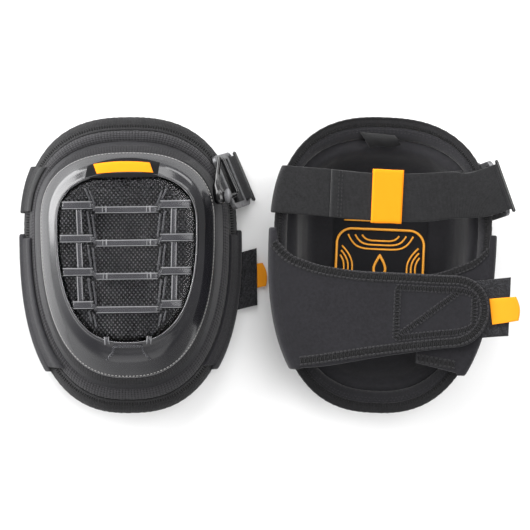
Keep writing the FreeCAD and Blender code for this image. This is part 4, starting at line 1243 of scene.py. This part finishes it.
def make_hook_patch(pad):
    """The black hook patch under the strap's end, and the folded yellow pull tab."""
    lift = WRAP_LIFT[pad.side]
    top = lifted(line_through((14, -18), (60, -16.5), (112, -11)), lift)
    bottom = lifted(line_through((14, -66), (60, -65), (108, -61), (112, -60.8)), lift)
    patch = flat_piece(pad, "hook_strip", bottom, top, (14.0, 109.0), level(-WRAP_BACK + 1.45), 1.1,
                       "hooks", 1.6)
    settle(patch, pad, "wrap", "hook_tape", "hook_patch")

    rows, cols = spread(TAB_LENGTH, 1.4, 0.6), spread(TAB_WIDTH, 1.6, 0.6)
    t, c = rows[:, None], cols[None, :]
    x = t * TAB_LENGTH + 0.3
    y = (c - 0.5) * (TAB_WIDTH - 1.5 * t) + 3.0
    curl = 1.4 * np.sin(t * math.pi) - 2.6 * np.maximum(0.0, t - 0.6) ** 1.2
    grid = np.stack(np.broadcast_arrays(
        x * math.cos(TAB_SLANT) - y * math.sin(TAB_SLANT) + 2.4 * np.sin(c * 3.0) * t ** 4,
        x * math.sin(TAB_SLANT) + y * math.cos(TAB_SLANT), 0.5 - 0.6 * curl), axis=-1) + pad.tab
    tab = sheet_piece(pad, "yellow_tab", grid, 1.3, "light_yellow", rows, cols, (TAB_LENGTH, TAB_WIDTH))
    settle(tab, pad, "tab", "accent", "pull_tab")


def make_wing(pad):
    """The side wing that the lower strap closes onto, with its bound edges."""
    top = line_through((30, -8.5), (48, -4), (66, 3), (81, 11), (90, 21), (98, 34))
    bottom = line_through((30, -81), (66, -86), (98, -91))
    back, thickness = 1.6, 2.8
    wing = wrapped_piece(pad, "wing_panel", 1, bottom, top, back, thickness, 32.0, "neoprene", 2.2)
    across_joint(wing, pad, "wing", "neoprene", (96, -30, 6), (94, -30, -2), "wing_base", "side_wing")
    outside = -back - thickness
    rows, slots, tapes = [], [], []
    for line, hand, far, insets in ((top, -1, 88.0, (-8.0, -0.4)), (bottom, 1, -LOWER_START, (0.4, 8.0))):
        low, high = ((lambda u, line=line, inset=inset: line(u) + inset) for inset in insets)
        tapes.append(flat_piece(pad, "tape", low, high, (33.0, far), level(outside - 0.1), 0.9, "tape"))
        u = np.linspace(34, far, 40)
        v = np.array([line(x) for x in u])

        def inside(inset, w):
            return np.stack(np.broadcast_arrays(u, v + hand * inset, w), axis=-1)

        rows += [stitch_row(pad, inside(inset, outside - 0.5), 3.2, 1.3, 0.6) for inset in (1.6, 7.0)]
        slots.append(tick_row(pad, inside(4.3, outside - 0.4), 3.2, 1.6, 0.7, False))
    settle_joined(slots, pad, "wing_slots", "wing", "tape")
    settle_joined(tapes, pad, "wing_tape", "wing", "tape", "wing_binding")
    settle_joined(rows, pad, "wing_stitches", "wing", "tape")


# ---- buckle

# Middle lines of the hook's and the knob's parts, in the pad's frame.
HOOK_STEM = [(78.5, 92, 37), (76.6, 76, 40), (76, 66, 44), (78, 58.5, 47), (79.8, 50.5, 47)]
HOOK_LEG = [(80.5, 91, 37.5), (85.5, 79, 37.5), (93.5, 60, 37.5)]
HOOK_FOOT = [(93.5, 60, 37.5), (80, 53.5, 44)]
DISC = [(82.4, 57.6, 53.0), (87.8, 57.6, 51.0)]
PEG_PATH = [(80, 57, 47), (89, 57, 43)]
# The webbing's fold over the bar: places across the bar, with heights.
FOLD = np.array([(-8.0, 17.0), (-4.5, 11.0), (-0.8, 6.6), (2.6, 3.4), (4.6, 0.2)])
FOLD_WIDTH = 39.0


def make_buckle(pad):
    """Finishes for the buckle's frame, its slim hook and knob, and the fold of webbing on its bar."""
    mesh = bpy.data.objects[pad.node("buckle_frame")].data
    mesh.materials.clear()
    mesh.materials.append(LOOKS["steel"])

    def part(path, radii, look, sides=14):
        return rod(pad, "part", resample(path, 1.0)[0], radii, look, sides)

    hook = [part(HOOK_STEM, (1.9, 2.0, 2.6, 5.0, 6.2), "black", 24), part(HOOK_LEG, (1.7, 1.8, 1.9), "black"),
            part(HOOK_FOOT, (1.9, 2.2), "black")]
    settle_joined(hook, pad, "hook_body", "pad", "buckle_plastic", "buckle_hook")
    knob = [part(DISC, (9.6, 9.6), "knob", 32), part(PEG_PATH, (1.9, 1.9), "knob")]
    settle_joined(knob, pad, "knob_disc", "pad", "knob_plastic", "buckle_knob")
    run = np.linspace(-23.5, 23.5, 48)
    outer = at_height(pad.bar[:2] + ACROSS * 5.2 + run[:, None] * ALONG, pad.bar[2] - 0.4)
    settle(rod(pad, "frame_edge", outer, (1.6, 1.6), "black"), pad, "frame", "buckle_metal")

    fold, _ = resample(at_height(FOLD, 0.0), 1.0)
    cols = spread(FOLD_WIDTH, 1.6, 0.8)
    places = ((cols - 0.5) * FOLD_WIDTH)[None, :, None]
    grid = np.zeros((len(fold), len(cols), 3))
    grid[..., :2] = pad.bar[:2] + fold[:, None, :1] * ACROSS + places * ALONG
    grid[..., 2] = pad.bar[2] + fold[:, None, 1]
    band = sheet_piece(pad, "strap_fold", grid, 1.8, "strap", np.linspace(0, 1, len(fold)), cols,
                       (len(fold), FOLD_WIDTH))
    settle(band, pad, "frame", "webbing")


def make_anchor(pad):
    """The patch of tape under the buckle's hook."""
    ends = pad.local(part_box(pad.node("buckle_anchor")))[:, 1]
    depth, height = 9.0, ends.max() - ends.min() - 2.0
    rows, cols = spread(depth, 1.2, 0.5), spread(height, 1.6, 0.5)
    v = ends.min() + 1.0 + height * cols
    grid = np.array([side_points(on(FRONT, 0.74 + 0.22 * t, 0.9), v, 1) for t in rows])
    patch = sheet_piece(pad, "anchor_patch", grid, 1.0, "tape", rows, cols, (depth, height))
    settle(patch, pad, "pad", "tape", "buckle_anchor")


# ---- floor, light and camera


def make_stage():
    bpy.ops.mesh.primitive_plane_add(size=6.0, location=(0, 0, 0))
    floor = bpy.context.object
    floor.name = "floor"
    surface = Shader("pale_floor", Roughness=0.9)
    surface.ramp(surface.noise(6.0, 2.0), (0.86, 0.86, 0.86), (0.90, 0.90, 0.90))
    floor.data.materials.append(surface.material)


LIGHTS = {  # place and size in metres, power in watts
    "key": ((-1.6, 0.9, 0.7), (2.2, 1.4), 72.0),
    "fill": ((1.2, 0.2, 3.0), (2.4, 2.4), 80.0),
    "back": ((-0.2, 2.4, 2.6), (2.4, 2.0), 58.0),
    "front": ((0.2, -2.4, 2.6), (2.4, 2.0), 12.0),
    "corner": ((1.0, 1.8, 0.9), (1.2, 0.8), 14.0),
}
LIGHTS_AIM = Vector((0, 0, 0.04))


def make_lights():
    for name, (location, size, power) in LIGHTS.items():
        light = bpy.data.lights.new(name, "AREA")
        light.shape = "RECTANGLE"
        light.size, light.size_y = size
        light.energy = power
        lamp = bpy.data.objects.new(name, light)
        bpy.context.scene.collection.objects.link(lamp)
        lamp.location = location
        lamp.rotation_euler = (LIGHTS_AIM - Vector(location)).to_track_quat("-Z", "Y").to_euler()


def make_world():
    """A white surrounding that is brighter on the left and low down."""
    world = bpy.data.worlds.new("studio")
    bpy.context.scene.world = world
    world.use_nodes = True
    nodes, links = world.node_tree.nodes, world.node_tree.links
    parts = nodes.new("ShaderNodeSeparateXYZ")
    links.new(nodes.new("ShaderNodeTexCoord").outputs["Generated"], parts.inputs[0])
    both = nodes.new("ShaderNodeMath")
    both.operation = "MULTIPLY"
    fades = (("Z", (0.35, 0.85, 1.15, 0.25)), ("X", (-0.7, 0.5, 1.25, 0.35)))
    for number, (axis, values) in enumerate(fades):
        fade = nodes.new("ShaderNodeMapRange")
        links.new(parts.outputs[axis], fade.inputs["Value"])
        for socket, value in zip(("From Min", "From Max", "To Min", "To Max"), values):
            fade.inputs[socket].default_value = value
        links.new(fade.outputs[0], both.inputs[number])
    background = nodes["Background"]
    links.new(both.outputs[0], background.inputs["Strength"])
    background.inputs["Color"].default_value = (1, 1, 1, 1)


CAMERA_DISTANCE = 2.4  # metres above the pads' widest outline
FRAMED_WIDTH = 0.456  # metres across the picture at that height
EDGE_HEIGHT = 0.027  # metres from the floor to the pads' widest outline
SENSOR = 36.0


def make_camera():
    low, high = CAD_BOX
    data = bpy.data.cameras.new("camera")
    camera = bpy.data.objects.new("camera", data)
    bpy.context.scene.collection.objects.link(camera)
    data.sensor_width = SENSOR
    data.lens = SENSOR * CAMERA_DISTANCE / FRAMED_WIDTH
    data.clip_end = 20.0
    camera.location = ((low[0] + high[0]) / 2, (low[1] + high[1]) / 2, CAMERA_DISTANCE + EDGE_HEIGHT)
    camera.rotation_euler = (0, 0, 0)
    bpy.context.scene.camera = camera


# ---- everything

STEPS = (make_cap, make_treads, make_insert, make_label, make_cover, make_roll, make_edge, make_cushion,
         make_border, make_panel, make_hang_loop, make_upper_strap, make_keeper, make_wrap, make_hook_patch,
         make_wing, make_buckle, make_anchor)


def main():
    bpy.context.scene.view_settings.view_transform = "Standard"
    make_camera()
    make_stage()
    make_lights()
    make_world()
    for side in ("left", "right"):
        pad = Pad(side)
        for step in STEPS:
            step(pad)
    bpy.context.view_layer.update()


main()
